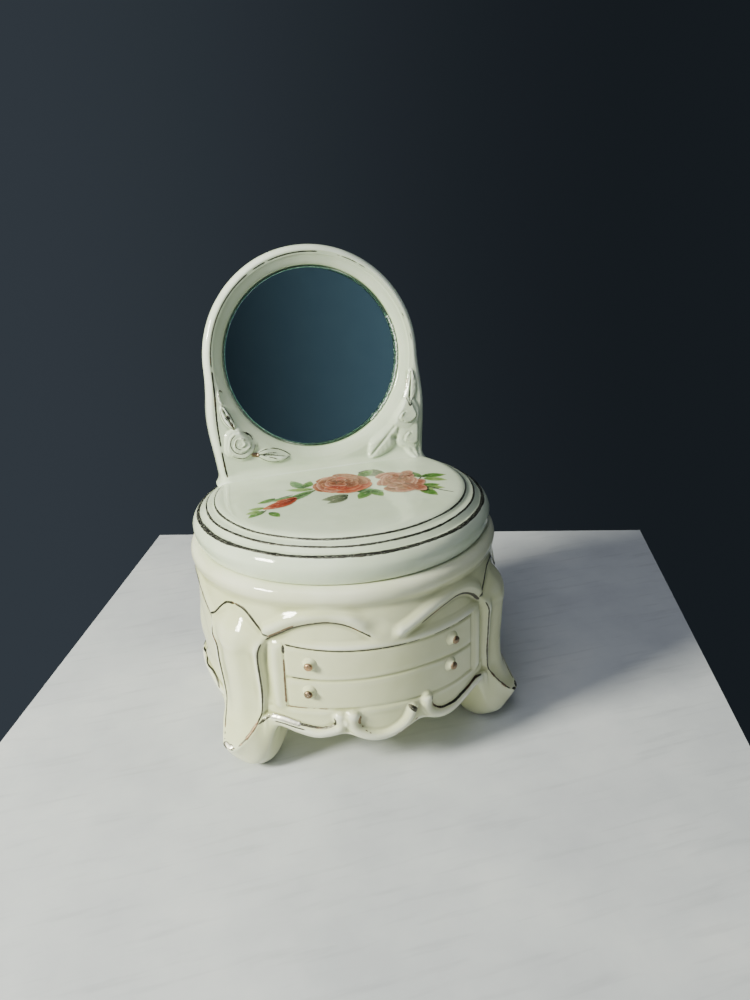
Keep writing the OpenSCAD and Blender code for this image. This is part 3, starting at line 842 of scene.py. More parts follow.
# %% [markdown]
# ### Worn gold lustre
#
# Liquid bright gold is brushed on over the glaze and fired to a film under a micrometre thick. It has
# no smooth mirror: it shows the brush, goes brown where thin, and rubs off in specks of about 0.4 mm.
# Metallic is 1 on the film, at the metal's default index, and 0 where the glaze shows through.

# %% Gold lustre


def gold_lustre(name, thin, rich, bare, worn):
    """Fired gold film: brown where thin, orange-gold where rich, with the glaze showing in specks."""
    material, tree, shader, place = new_material(name)
    film = ramp_node(tree, noise(tree, place, 11), [(0.40, thin), (0.60, thin), (0.72, rich), (1.0, rich)])
    grain = noise(tree, place, 0.38, 3.0, 0.7)
    rubbed = stretch(tree, grain, worn, worn + 0.05)
    tree.links.new(mix(tree, rubbed, film, linear(bare)), shader.inputs["Base Color"])
    metal = add(tree, "ShaderNodeMath", {"operation": "SUBTRACT"}, in0=1.0, in1=rubbed)
    tree.links.new(metal.outputs[0], shader.inputs["Metallic"])
    tree.links.new(stretch(tree, grain, 0.3, 0.7, 0.26, 0.5), shader.inputs["Roughness"])
    bump(tree, shader, grain, 0.4, 0.03)
    return material


gold = gold_lustre("worn_gold_lustre", "#57554A", "#8A6440", "#C9C8B4", 0.62)
bright_gold = gold_lustre("bright_gold_lustre", "#8A745C", "#C89C74", "#D9D0BA", 0.60)
banding_gold = gold_lustre("dry_banded_lustre", "#4E4D46", "#6B675A", "#B9BCAB", 0.57)
# near-white gold: the gold line with the window's reflection painted into its colour, a painted highlight
painted_sheen_gold = gold_lustre("burnished_pale_lustre", "#E6E2D4", "#F0E4CC", "#F4F2E6", 0.66)
print("four golds")

# %% [markdown]
# ### Glass, silvering, cement and bisque
#
# Float glass (index 1.52) is clear through its face and green through its ground edge, which Volume
# absorption would give; here the edge has its own frosted green finish, because the colour of a thin
# disc has to come from its rim. The silver film is a near-perfect mirror with a trace of tarnish.

# %% Mirror materials


def grained(name, grain, stops, strength, depth_mm, **values):
    """A material whose colour and bump follow one fine noise. grain is its size, detail and roughness."""
    material, tree, shader, place = new_material(name)
    pattern = noise(tree, place, *grain)
    tree.links.new(ramp_node(tree, pattern, stops), shader.inputs["Base Color"])
    bump(tree, shader, pattern, strength, depth_mm)
    finish(shader, **values)
    return material


glass, tree, shader, place = new_material("float_glass")
haze = stretch(tree, noise(tree, place, 1.1, 5.0, 0.7), 0.74, 0.8, 0.0, 0.1)
tree.links.new(haze, shader.inputs["Roughness"])
finish(shader, Base_Color=linear("#F4FAF7"), IOR=1.52, Transmission_Weight=1.0)

silver, tree, shader, place = new_material("mirror_silvering")
tarnish = ramp_node(tree, noise(tree, place, 7, 4.0, 0.6),
                    [(0.3, "#E9EDEC"), (0.7, "#E2E7E8"), (0.86, "#B8BDB9")])
tree.links.new(tarnish, shader.inputs["Base Color"])
finish(shader, Metallic=1.0, Roughness=0.02)

ground_edge = grained("ground_glass_edge", (0.8, 3.0),
                      [(0.35, "#3F6A55"), (0.55, "#6FA58A"), (0.72, "#B9DCC9")], 0.8, 0.15,
                      Roughness=0.3, IOR=1.52, Transmission_Weight=0.25)
cement = grained("clear_cement", (1.4, 4.0), [(0.3, "#A9B7A6"), (0.55, "#DDE6DF"), (0.8, "#FAFCFA")],
                 0.7, 0.3, Roughness=0.22, IOR=1.46)
bisque = grained("unglazed_foot_ring", (0.9, 5.0, 0.7),
                 [(0.3, "#C9BFA2"), (0.55, "#DCD5BE"), (0.8, "#B5A886")], 0.5, 0.12, Roughness=0.85)
print("glass, edge, silver, cement and bisque")

# %% [markdown]
# ## Painted gold lines
#
# A gilder runs a loaded brush along the relief. Each stroke is a path on the casting with a width at
# every point, thinned and broken where hands have rubbed it. The node tree turns a path into a round
# bead as wide as the brush mark, then presses the bead onto the nearest point of the casting, so that
# it ends up as a film a few hundredths of a millimetre proud and never floats.

# %% Painted line tree
line_tree, line_in, line_out = new_tree("painted_line", [
    ("Casting", "NodeSocketObject"), ("Flatness", "NodeSocketFloat"), ("Paint", "NodeSocketMaterial")])
path_curve = add(line_tree, "GeometryNodeMeshToCurve", Mesh=line_in.outputs["Geometry"])
brush = add(line_tree, "GeometryNodeCurvePrimitiveCircle", {"mode": "RADIUS"}, Resolution=8, Radius=1.0)
width_read = add(line_tree, "GeometryNodeInputNamedAttribute", {"data_type": "FLOAT"}, Name="half_width")
bead = add(line_tree, "GeometryNodeCurveToMesh", Curve=path_curve.outputs[0],
           Profile_Curve=brush.outputs[0], Scale=width_read.outputs[0], Fill_Caps=True)
target = add(line_tree, "GeometryNodeObjectInfo", {"transform_space": "ORIGINAL"},
             Object=line_in.outputs["Casting"])
touch = add(line_tree, "GeometryNodeProximity", {"target_element": "FACES"},
            Target=target.outputs["Geometry"])
here = add(line_tree, "GeometryNodeInputPosition")
off = add(line_tree, "ShaderNodeVectorMath", {"operation": "SUBTRACT"}, in0=here.outputs[0],
          in1=touch.outputs[0])
pressed = add(line_tree, "ShaderNodeVectorMath", {"operation": "SCALE"}, in0=off.outputs[0],
              Scale=line_in.outputs["Flatness"])
film_place = add(line_tree, "ShaderNodeVectorMath", {"operation": "ADD"}, in0=touch.outputs[0],
                 in1=pressed.outputs[0])
laid = add(line_tree, "GeometryNodeSetPosition", Geometry=bead.outputs[0], Position=film_place.outputs[0])
rounded = add(line_tree, "GeometryNodeSetShadeSmooth", Geometry=laid.outputs[0], Shade_Smooth=True)
real = add(line_tree, "GeometryNodeRealizeInstances", Geometry=rounded.outputs[0])
painted = add(line_tree, "GeometryNodeSetMaterial", Geometry=real.outputs[0],
              Material=line_in.outputs["Paint"])
line_tree.links.new(painted.outputs[0], line_out.inputs[0])
print("painted_line has", len(line_tree.nodes), "nodes")

# %% Strokes
STEP_MM = 0.3
SHORTEST = 3


def drifting(count, over_mm, rng):
    """A smooth random line between 0 and 1, that changes about every over_mm."""
    knots = rng.random(int(count * STEP_MM / over_mm) + 3)
    at = np.arange(count) * STEP_MM / over_mm
    low = np.floor(at).astype(int)
    return knots[low] + (knots[low + 1] - knots[low]) * ramp(at - low, 0, 1)


def brushed(path, half, seed, worn=0.25):
    """Cuts a 3-D path in millimetres into worn strokes of (points, half widths).
    worn is between 0, an unbroken line, and about 2, a line that is nearly gone."""
    rng = np.random.default_rng(seed)
    path = np.asarray(path, float)
    run = np.concatenate([[0], np.cumsum(np.linalg.norm(np.diff(path, axis=0), axis=1))])
    count = max(4, int(run[-1] / STEP_MM))
    even = np.linspace(0, run[-1], count)
    points = np.stack([np.interp(even, run, path[:, k]) for k in range(3)], 1)
    width = half * (0.8 + 0.4 * drifting(count, 6.0, rng) + 0.3 * drifting(count, 0.9, rng))
    rub = 0.75 * drifting(count, 7.0, rng) + 0.25 * drifting(count, 1.2, rng)
    keep = rub > np.quantile(rub, 0.4 * worn) if worn > 0 else np.ones(count, bool)
    strokes, start = [], None
    for k in range(count + 1):
        if k < count and keep[k]:
            start = k if start is None else start
        elif start is not None:
            if k - start >= SHORTEST:
                taper = np.minimum(np.arange(k - start), np.arange(k - start)[::-1])
                strokes.append((points[start:k], width[start:k] * ramp(taper + 1.0, 0, 4)))
            start = None
    return strokes


def gild(name, strokes, casting, paint, flatness=0.13):
    """Makes one gilding piece from a list of strokes, pressed onto a casting."""
    verts, edges, widths = [], [], []
    for points, half in strokes:
        edges += [(len(verts) + k, len(verts) + k + 1) for k in range(len(points) - 1)]
        verts += [tuple(p) for p in points * MM]
        widths += list(half * MM)
    mesh = bpy.data.meshes.new(name + "_paths")
    mesh.from_pydata(verts, edges, [])
    mesh.attributes.new("half_width", "FLOAT", "POINT").data.foreach_set("value", widths)
    paths = show(name + "_paths", mesh)
    return run_tree(paths, line_tree, {"Casting": casting, "Flatness": flatness, "Paint": paint}, name)


def on_drum(line):
    """Angle and height points of the drum's drawing as 3-D points on the relief."""
    line = np.asarray(line, float)
    r = outside(line[:, 0], line[:, 1])
    t = np.radians(line[:, 0])
    return np.stack([r * np.sin(t), -r * np.cos(t), line[:, 1]], 1)


print("a worn 60 mm line has", len(brushed([(0, 0, 0), (60, 0, 0)], 0.4, 3)), "strokes")

# %% [markdown]
# ### The drum's lines
#
# The gold follows the leg panels, the arches, the drawers' top edge, the apron's borders, the scroll
# and the side panels. Each entry is a path, a half width in millimetres and how worn it is.

# %% Gild the base
inner_edge = leg_outline[:len(leg_right)] * [0.955, 1.0] + [0, 0.3]
side_only = inner_edge[inner_edge[:, 1] < 55.0]
side_only = side_only[side_only[:, 0] > 3.2]
toe_only = inner_edge[inner_edge[:, 1] < 13.0]
top_only = leg_top_line * [0.97, 1.0] + [0, -0.5]
base_lines = []
for leg, near in ((-LEG_AT, 1), (LEG_AT, -1), (180 - LEG_AT, 1), (180 + LEG_AT, -1)):
    base_lines += [(side_only * [near, 1] + [leg, 0], 0.25, 0.0),
                   (side_only * [-0.87 * near, 1] + [leg, 0], 0.26, 0.1),
                   (top_only * [near, 1] + [leg, 0], 0.34, 0.0),
                   (top_only * [-near, 1] + [leg, 0], 0.34, 0.0),
                   (toe_only * [near, 1] + [leg, 0], 0.40, 0.1),
                   (toe_only * [-near, 1] + [leg, 0], 0.62, 0.0)]
left_arch = arches[arches[:, 0] < -6.0]
right_arch = arches[(arches[:, 0] > 12.0) & (arches[:, 0] < 42.0)]
apron_paths = [([(-47.5, 21.4), (-45, 24.0), (-43.4, 24.9)], 0.34, 0.0),
               ([(-42, 23.5), (-38.5, 23.3), (-34.5, 22.6), (-30, 21.8)], 0.22, 0.1),
               ([(-33.5, 23.9), (-30.7, 23.3), (-25.9, 22.6), (-22.5, 23.2), (-20.3, 24.2),
                 (-19.8, 26), (-20.2, 27.5)], 0.32, 0.0),
               ([(15.4, 26.2), (16.2, 24.3), (19.2, 22.3), (24.9, 22.0), (30.2, 23.4), (37.9, 25.2),
                 (42.6, 24.5)], 0.32, 0.0),
               ([(14.9, 29.2), (14.5, 27.9)], 0.6, 0.0),
               ([(5.9, 28.3), (7.4, 27.0), (8.8, 25.5)], 0.62, 0.0)]
side_lobe = smooth([(90, 30.0), (84.3, 29.5), (78.2, 29.4), (73.6, 27.9), (70.5, 25.6)])
for turn in (0, 180):
    base_lines += [(left_arch + [turn, -0.3], 0.36, 0.0), (right_arch + [turn, -0.3], 0.44, 0.0)]
    base_lines += [(smooth(path) + [turn, 0], half, worn) for path, half, worn in apron_paths]
    for flip in (-1, 1):
        base_lines += [(side_arch * [flip, 1] + [turn, -0.2], 0.30, 0.0),
                       (side_lobe * [flip, 1] + [turn, 0], 0.32, 0.05)]


def drum_line(first, last, count, height, lift):
    """A line on the drum between two angles, lift above a drawn height."""
    phi = np.linspace(first, last, count)
    return np.stack([phi, height(phi) + lift], 1)


top_edge = drum_line(-36, 35, 140, drawer_top, 0.15)
corner = np.stack([np.linspace(-36.5, -37.2, 50), np.linspace(54.6, 30.2, 50)], 1)
base_lines += [(top_edge[:84], 0.26, 0.0), (top_edge[84:], 0.16, 0.6), (corner[:8], 0.45, 0.0),
               (drum_line(-34.5, -27.0, 20, drawer_middle, 0.2), 0.24, 0.2)]
base_strokes = []
for number, (line, half, worn) in enumerate(base_lines):
    base_strokes += brushed(on_drum(line), 1.18 * half, 100 + number, worn)
base_gold = gild("base_gold_lines", base_strokes, base_casting, gold)
highlights = [(smooth([(-11.2, 27.6), (-11.7, 25.1), (-10.6, 22.8)]), 0.6, 41, 0.25),
              (smooth([(-9.9, 21.8), (-7.9, 20.3)]), 0.3, 42, 0.2),
              (corner[8:], 0.3, 44, 0.1),
              (drum_line(-37, -22, 30, drawer_bottom, 0.1), 0.22, 46, 0.3),
              (left_arch[:26] + [0, 0.55], 0.3, 47, 0.1),
              (smooth([(0.3, 17.9), (3.6, 18.3), (6.9, 19.9), (9.7, 21.7)]), 0.26, 45, 0.5)]
scroll_strokes = []
for line, half, seed, worn in highlights:
    scroll_strokes += brushed(on_drum(line), half, seed, worn)
for leg in (-LEG_AT, LEG_AT, 180 - LEG_AT, 180 + LEG_AT):
    near = 1 if leg in (-LEG_AT, 180 - LEG_AT) else -1
    low_side = side_only[(side_only[:, 1] < 23) & (side_only[:, 1] > 12)] * [near, 1] + [leg, 0]
    scroll_strokes += brushed(on_drum(low_side), 0.5, 143 + int(leg), 0.35)
base_orange = gild("base_gold_highlights", scroll_strokes, base_casting, bright_gold)
# the apron's left border and the toe tips: gold lines painted near white as a highlight of the window
painted_sheen_strokes = []
for turn in (0, 180):
    painted_sheen_path = smooth([(-43.6, 24.6), (-41.7, 25.1), (-37.9, 24.7), (-34.5, 24.0), (-32, 23.5)]) + [turn, 0]
    painted_sheen_strokes += brushed(on_drum(painted_sheen_path), 0.8, 61 + turn, 0.0)
    toe = smooth([(-2.6, 13.0), (-0.6, 12.5), (1.6, 12.7)]) + [turn - LEG_AT, 0]
    painted_sheen_strokes += brushed(on_drum(toe), 0.75, 62 + turn, 0.0)
base_painted_sheen = gild("base_gold_sheen", painted_sheen_strokes, base_casting, painted_sheen_gold)
print("base gold:", len(base_gold.data.polygons), "+", len(base_orange.data.polygons), "faces")

# %% [markdown]
# ### The lid's rings and the frame's lines
#
# Three rings were banded on a turntable, so they are round and unbroken, but the brush wavered and the
# gold is rubbed through in fine specks. On the frame, one line follows the arch, and others pick out
# the leaves.

# %% Gild the lid and frame
ring_strokes = []
for radius, z, half, seed in ((53.9, 86.4, 0.72, 7), (50.7, 88.5, 0.40, 8), (47.6, 90.0, 0.34, 9)):
    t = np.linspace(math.pi, 3 * math.pi, 900)
    waver = radius + 0.12 * np.sin(3 * t + seed) + 0.08 * np.sin(11 * t + 2 * seed)
    ring = np.stack([waver * np.sin(t), -waver * np.cos(t), np.full(900, z)], 1)
    ring_strokes += brushed(ring, half, seed, 0.0)
lid_gold = gild("lid_gold_rings", ring_strokes, lid_casting, banding_gold)


def on_face(points, w=3.2):
    """Points of the leaning drawing as 3-D points on the frame's face."""
    points = np.asarray(points, float)
    lift = frame_relief(points[:, 0], points[:, 1])
    return from_frame(points[:, 0], points[:, 1], w + lift)


def leaf_lines(base, tip, half_width):
    """Outline and veins of a painted leaf."""
    base, tip = np.array(base), np.array(tip)
    axis = tip - base
    across = np.array([-axis[1], axis[0]]) / math.hypot(*axis)
    t = np.linspace(0, 1, 30)[:, None]
    bow = half_width * np.sin(math.pi * t) ** 0.7 * across
    lines = [base + axis * t + bow * 0.9, base + axis * t - bow * 0.9, base + axis * t[:26]]
    vein = t[4:18]
    lines += [base + axis * vein + (vein - t[4]) * 1.1 * half_width * across * side for side in (-1, 1)]
    return lines


GOLD_ARCH_R = 40.3
arch, faded_arch = [[(GOLD_ARCH_R * math.cos(t), GOLD_ARCH_R * math.sin(t)) for t in sweep]
                    for sweep in (np.linspace(math.radians(82), math.pi, 200),
                                  np.linspace(math.radians(34), math.radians(80), 90))]
left_run = smooth([(-40.3, -1), (-40.6, -12), (-41.0, -22), (-40.6, -32), (-40.0, -40), (-39.2, -45.5)])
right_run = smooth([(36, 18), (40.2, 6), (40.8, -4)])
frame_lines = [(arch, 0.2, 0.1), (faded_arch, 0.11, 1.6), (left_run, 0.30, 0.1), (right_run, 0.1, 1.8)]
frame_lines += [(line, 0.16, 0.12) for line in leaf_lines((-27.2, -35.4), (-13.6, -37.2), 3.3)]
frame_lines += [(line, 0.17, 0.2) for line in leaf_lines((-34.6, -24.6), (-38.8, -14.8), 2.2)]
frame_lines += [(smooth([(-35.2, -23.4), (-36.0, -21.0), (-37.0, -18.6)]), 0.4, 0.1)]
frame_lines += [(smooth([(-38.9, -13.2), (-39.2, -10.2), (-37.9, -8.9), (-36.9, -10.0)]), 0.16, 0.1)]
frame_lines += [(line, 0.11, 0.35) for line in leaf_lines((37.2, -22.5), (39.4, -9.4), 2.7)[:3]]
frame_lines += [(smooth([(36.5, -21.8), (37.3, -23.4), (38.2, -22.3)]), 0.3, 0.0)]
for start, sweep, size in ((0.4, 4.4, 2.2), (2.0, 4.6, 4.0), (3.6, 2.6, 5.9), (0.2, 1.2, 5.6)):
    t = np.linspace(start, start + sweep, 30)
    curl = np.stack([-33.0 + size * np.cos(t), -30.3 + size * np.sin(t)], 1)
    frame_lines.append((curl, 0.13, 0.35))
frame_strokes = []
for number, (line, half, worn) in enumerate(frame_lines):
    frame_strokes += brushed(on_face(line), half, 300 + number, worn)
frame_gold = gild("frame_gold_lines", frame_strokes, frame_casting, gold)
blush = brushed(on_face(smooth([(-29.3, -35.2), (-27.6, -35.5), (-26.0, -35.7)])), 0.75, 77, 0.0)
frame_orange = gild("frame_gold_blush", blush, frame_casting, bright_gold)
print("ring, frame faces:", len(lid_gold.data.polygons), len(frame_gold.data.polygons))

# %% [markdown]
# ## Drawer knobs
#
# Four small knobs are cast with the drum and touched with gold. One turned knob is instanced on four
# points that carry the drum's outward direction.

# %% Knobs
knob_tree, knob_in, knob_out = new_tree("knobs_on_points", [("Knob", "NodeSocketObject"),
                                                            ("Size", "NodeSocketFloat"),
                                                            ("Finish", "NodeSocketMaterial")])
facing = add(knob_tree, "GeometryNodeInputNamedAttribute", {"data_type": "FLOAT_VECTOR"}, Name="outward")
turned = add(knob_tree, "FunctionNodeAlignRotationToVector", {"axis": "Z"}, Vector=facing.outputs[0])
knob_read = add(knob_tree, "GeometryNodeObjectInfo", {"transform_space": "ORIGINAL"},
                Object=knob_in.outputs["Knob"])
placed = add(knob_tree, "GeometryNodeInstanceOnPoints", Points=knob_in.outputs["Geometry"],
             Instance=knob_read.outputs["Geometry"], Rotation=turned.outputs[0],
             Scale=knob_in.outputs["Size"])
knob_real = add(knob_tree, "GeometryNodeRealizeInstances", Geometry=placed.outputs[0])
knob_paint = add(knob_tree, "GeometryNodeSetMaterial", Geometry=knob_real.outputs[0],
                 Material=knob_in.outputs["Finish"])
knob_tree.links.new(knob_paint.outputs[0], knob_out.inputs[0])


def turned_shape(name, ring, sides=40):
    """A small closed turned shape standing on the origin, from (radius, height) in millimetres."""
    t = np.linspace(0, 2 * math.pi, sides, endpoint=False)
    rows = [np.stack([r * np.cos(t), r * np.sin(t), np.full(sides, h)], 1) for r, h in ring]
    return grid_mesh(name, np.array(rows))


knob_places = [(-27.4, 48.1), (-28.2, 37.1), (25.1, 48.2), (24.0, 38.2)]


def knobs(name, ring, material, sink):
    """The ring profile as a knob on each of the four places."""
    pattern = turned_shape(name + "_pattern", ring)
    points, aims = [], []
    for phi, z in knob_places:
        t = math.radians(phi)
        r = float(outside(np.array([phi]), np.array([z]))[0]) - sink
        points.append((r * math.sin(t) * MM, -r * math.cos(t) * MM, z * MM))
        aims += [math.sin(t), -math.cos(t), 0.0]
    mesh = bpy.data.meshes.new(name + "_points")
    mesh.from_pydata(points, [], [])
    mesh.attributes.new("outward", "FLOAT_VECTOR", "POINT").data.foreach_set("vector", aims)
    thing = bpy.data.objects.new(name + "_points", mesh)
    bpy.context.scene.collection.objects.link(thing)
    result = run_tree(thing, knob_tree, {"Knob": pattern, "Size": 1.0, "Finish": material}, name)
    bpy.data.objects.remove(pattern)
    return result


knob_bodies = knobs("drawer_knob_bodies", [(0.8, -0.8), (2.9, -0.7), (2.7, 0.0), (2.25, 0.45), (1.8, 0.95),
                                           (1.55, 1.45), (1.45, 1.9), (1.2, 2.3), (0.8, 2.5), (0.4, 2.6)],
                    base_glaze, 0.0)
knob_gold = knobs("drawer_knob_gilding", [(0.3, 1.5), (1.2, 1.6), (1.5, 1.7), (1.49, 1.92), (1.24, 2.34),
                                          (0.84, 2.54), (0.42, 2.65)], bright_gold, 0.0)
print("knobs:", len(knob_bodies.data.polygons), "faces")

# %% [markdown]
# ## The rose transfer
#
# The spray on the lid is a ceramic transfer: dots of enamel printed on film, slid onto the glaze and
# fired. It is flat, so each petal and leaf here is a thin sheet laid on the lid, each print layer
# 0.015 mm above the last. Its colour runs from a deep root to a light rim, painted on the vertices.

# %% Painted petals and leaves
petal_verts, petal_faces, petal_colours = [], [], []
petal_rng = np.random.default_rng(12)


def blend_colour(a, b, t):
    """A linear colour between two hex colours."""
    return np.array(linear(a)) * (1 - t) + np.array(linear(b)) * t


def paint_blade(base, tip, half, colours, layer, bend=0.0, fullness=0.8, tip_at=1.0, teeth=0.0,
                rows=20, across=9):
    """Adds a leaf or petal from base to tip. colours are root, body, rim and crease."""
    base, tip = np.array(base, float), np.array(tip, float)
    axis = tip - base
    side = np.array([-axis[1], axis[0]]) / max(math.hypot(*axis), 1e-6)
    start = len(petal_verts)
    for i in range(rows + 1):
        t = i / rows
        width = half * math.sin(math.pi * (0.02 + 0.98 * t) ** tip_at) ** fullness
        width *= 1 + teeth * (((i * 1.0) % 3) / 3 - 0.3)
        for j in range(across + 1):
            s = 2 * j / across - 1
            spot = base + axis * t + side * (width * s + bend * math.sin(math.pi * t))
            z = float(lid_height(math.hypot(*spot))) + 0.035 + 0.015 * layer
            petal_verts.append((spot[0] * MM, spot[1] * MM, z * MM))
            colour = blend_colour(colours[0], colours[1], min(1, t * 2.0))
            rim = ramp(np.array(abs(s)), 0.62, 1.0) * 0.5 + ramp(np.array(t), 0.72, 1.0)
            colour = colour * (1 - min(1, float(rim))) + np.array(linear(colours[2])) * min(1, float(rim))
            crease = 0.7 * float(hump(np.array(s - 0.25 * math.sin(5 * t + layer)), 0.26)) * (1 - t)
            colour = colour * (1 - crease) + np.array(linear(colours[3])) * crease
            petal_colours.append(colour)
    for i in range(rows):
        for j in range(across):
            a = start + i * (across + 1) + j
            petal_faces.append((a, a + across + 1, a + across + 2, a + 1))


GREEN = ("#2F5520", "#527F34", "#93AF6A", "#26441A")
PALE_GREEN = ("#62873F", "#84A45A", "#B8CC92", "#4B6C32")
GREY_LEAF = ("#333E2B", "#6C7659", "#94A080", "#262E22")
BLUE_GREEN = ("#345C35", "#5E8A52", "#A0BC8A", "#2B4E2D")
BUD = ("#6E1C0C", "#983820", "#CE7C56", "#50120A")
CORAL = ("#4E200E", "#7A3E22", "#B87C5A", "#3A160A")
PINK = ("#6A2A1A", "#925038", "#CF9A80", "#4A1A10")
print("palette of", len((GREEN, PALE_GREEN, GREY_LEAF, BLUE_GREEN, BUD, CORAL, PINK)), "enamels")

# %% Leaves and stems
leaves = [
    ((-31.2, -12.2), (-37.4, -11.6), 1.5, PALE_GREEN, 0.3),
    ((-31.6, -15.2), (-38.4, -19.3), 1.7, GREEN, -0.3),
    ((-30.4, -17.2), (-27.7, -23.0), 1.7, GREEN, 0.3),
    ((-26.0, -4.6), (-33.2, -7.2), 1.7, GREEN, 0.5),
    ((-21.6, -9.6), (-10.2, -2.2), 2.3, BLUE_GREEN, 0.4),
    ((-22.6, -7.4), (-9.2, -1.8), 1.5, GREEN, -0.6),
    ((-10.6, -1.0), (-21.0, 2.2), 1.9, PALE_GREEN, 0.4),
    ((-14.0, 1.2), (-16.8, 11.6), 2.3, BLUE_GREEN, 0.3),
    ((-13.4, 1.8), (-9.8, 8.2), 2.0, GREEN, -0.3),
    ((-0.1, -12.2), (-10.6, -13.6), 3.0, GREY_LEAF, 0.8),
    ((-0.9, -14.4), (-9.4, -17.8), 2.0, GREY_LEAF, 0.2),
    ((4.0, -10.2), (13.4, -13.6), 2.6, BLUE_GREEN, 0.4),
    ((8.6, -11.2), (2.4, -18.0), 2.4, GREEN, -0.2),
    ((9.4, -11.4), (11.6, -18.4), 2.2, GREEN, 0.2),
    ((10.2, 10.4), (20.0, 3.4), 4.2, GREY_LEAF, 0.6),
    ((9.0, 4.5), (16.0, 11.0), 2.6, GREEN, 0.2),
    ((31.2, -4.0), (27.6, 4.6), 2.3, GREEN, 0.2),
    ((31.2, -3.6), (41.4, -4.6), 2.5, GREEN, 0.4),
    ((31.6, -6.0), (39.6, -10.8), 2.1, PALE_GREEN, 0.2),
    ((27.0, -14.2), (35.4, -14.0), 2.4, GREEN, 0.3),
    ((27.4, -15.0), (30.6, -24.6), 2.5, GREEN, -0.3),
    ((27.0, -14.4), (36.0, -18.2), 2.2, PALE_GREEN, 0.2),
    ((-18.6, -6.0), (-29.0, -6.6), 1.9, BLUE_GREEN, 0.5),
    ((-33.4, -14.6), (-38.6, -15.4), 1.6, PALE_GREEN, 0.1)]
for base, tip, half, enamel, bend in leaves:
    paint_blade(base, tip, half, enamel, 0, bend, 0.85, 0.85, 0.10)
for base, tip, bend in [((-9.0, -2.0), (-23.0, -8.2), 0.5), ((29.0, -8.0), (32.4, -2.6), 0.3),
                        ((27.5, -14.0), (33.6, -18.4), 0.4), ((31.0, -16.4), (37.4, -23.4), -0.4),
                        ((-24.5, -5.2), (-19.0, -4.0), 0.1), ((-31.0, -14.6), (-33.0, -17.0), 0.1)]:
    paint_blade(base, tip, 0.32, ("#4C5A48", "#47533F", "#5B6650", "#333C38"), 1, bend, 0.3)
bud_petals = [((-19.0, -8.0), (-32.2, -13.8), 3.0, 0.7), ((-18.6, -8.6), (-31.4, -12.4), 1.9, 1.2),
              ((-19.4, -9.6), (-30.4, -14.6), 1.2, -0.9), ((-18.4, -7.4), (-26.4, -8.0), 1.5, 0.5)]
for base, tip, half, bend in bud_petals:
    paint_blade(base, tip, half, BUD, 3 + half, bend, 0.7, 0.8)
print("leaves, stems and bud:", len(petal_faces), "faces")

# %% Roses


def paint_rose(centre, heart, size, enamels, layer, rings, squash):
    """A full rose: rings of petals from the outside in, each closer to an off-centre heart."""
    for ring, (out, foot, half, count, start) in enumerate(rings):
        middle = np.array(centre) + (np.array(heart) - centre) * ring / (len(rings) - 1)
        for k in range(count):
            turn = start + 2 * math.pi * k / count + petal_rng.uniform(-0.22, 0.22)
            way = np.array([math.cos(turn) * squash[0], math.sin(turn) * squash[1]])
            skew = np.array([-way[1], way[0]]) * petal_rng.uniform(-0.25, 0.25)
            base = middle + (way * foot - skew * 0.5) * size
            tip = middle + (way * out * petal_rng.uniform(0.88, 1.05) + skew * 0.5) * size
            colours = enamels[petal_rng.integers(len(enamels))]
            paint_blade(base, tip, half * size * petal_rng.uniform(0.85, 1.15), colours,
                        layer + ring * 3 + k * 0.4, petal_rng.uniform(-1.0, 1.0), 0.55, 1.6, 0.0, 14, 8)


rings = [(1.0, 0.20, 0.46, 7, 0.3), (0.84, 0.12, 0.42, 6, 0.9), (0.66, 0.06, 0.34, 6, 0.2),
         (0.48, 0.02, 0.26, 5, 1.0), (0.32, 0.0, 0.18, 4, 0.4), (0.20, 0.0, 0.11, 3, 1.3)]
paint_rose((0.6, 0.4), (-0.6, 2.8), 11.0, (CORAL, CORAL, PINK, BUD), 6, rings, (1.12, 1.0))
paint_rose((21.6, -6.0), (22.8, -1.0), 11.0, (PINK, CORAL, PINK), 6, rings, (0.74, 1.12))
paint_blade((22.5, -9.0), (28.0, -19.0), 2.9, PINK, 26, 0.5, 0.6, 1.4)
paint_blade((23.0, -2.0), (29.4, 4.0), 2.4, PINK, 25, -0.4, 0.6, 1.4)
transfer_mesh = bpy.data.meshes.new("rose_transfer")
transfer_mesh.from_pydata(petal_verts, [], petal_faces)
layer = transfer_mesh.color_attributes.new("enamel", "FLOAT_COLOR", "POINT")
layer.data.foreach_set("color", np.array(petal_colours).reshape(-1))
transfer_mesh.shade_smooth()
transfer = show("rose_transfer", transfer_mesh)
if sum(p.normal.z for p in transfer_mesh.polygons) < 0:
    transfer_mesh.flip_normals()
print("transfer:", len(petal_faces), "faces")

# %% [markdown]
# ### Fired enamel
#
# The enamels sink into the glaze, so they are as glossy as it is. The print is made of fine dots and
# brush-like streaks, and lighter flecks show where the film was thin. Dots of 0.6 mm stand for the
# real ones of 0.15 mm, which would be too fine to show.

# %% Enamel
enamel_paint, tree, shader, place = new_material("fired_enamel_transfer")
printed = add(tree, "ShaderNodeVertexColor", {"layer_name": "enamel"}).outputs[0]
streak_place = add(tree, "ShaderNodeMapping", Vector=place, Scale=(1.0, 2.6, 1.0)).outputs[0]
streak = noise(tree, streak_place, 1.8, 4.0, 0.65)
faded = mix(tree, stretch(tree, streak, 0.56, 0.74, 0.0, 0.55), printed, linear("#E6D3BE"))
deep = mix(tree, stretch(tree, streak, 0.46, 0.30, 0.0, 0.6), faded, linear("#B08A76"), "MULTIPLY")
tree.links.new(deep, shader.inputs["Base Color"])
dots = add(tree, "ShaderNodeTexVoronoi", Vector=place, Scale=1000 / 0.6)
bump(tree, shader, dots.outputs["Distance"], 0.15, 0.03)
finish(shader, Roughness=0.22, IOR=1.5)
transfer_mesh.materials.append(enamel_paint)
print("enamel")

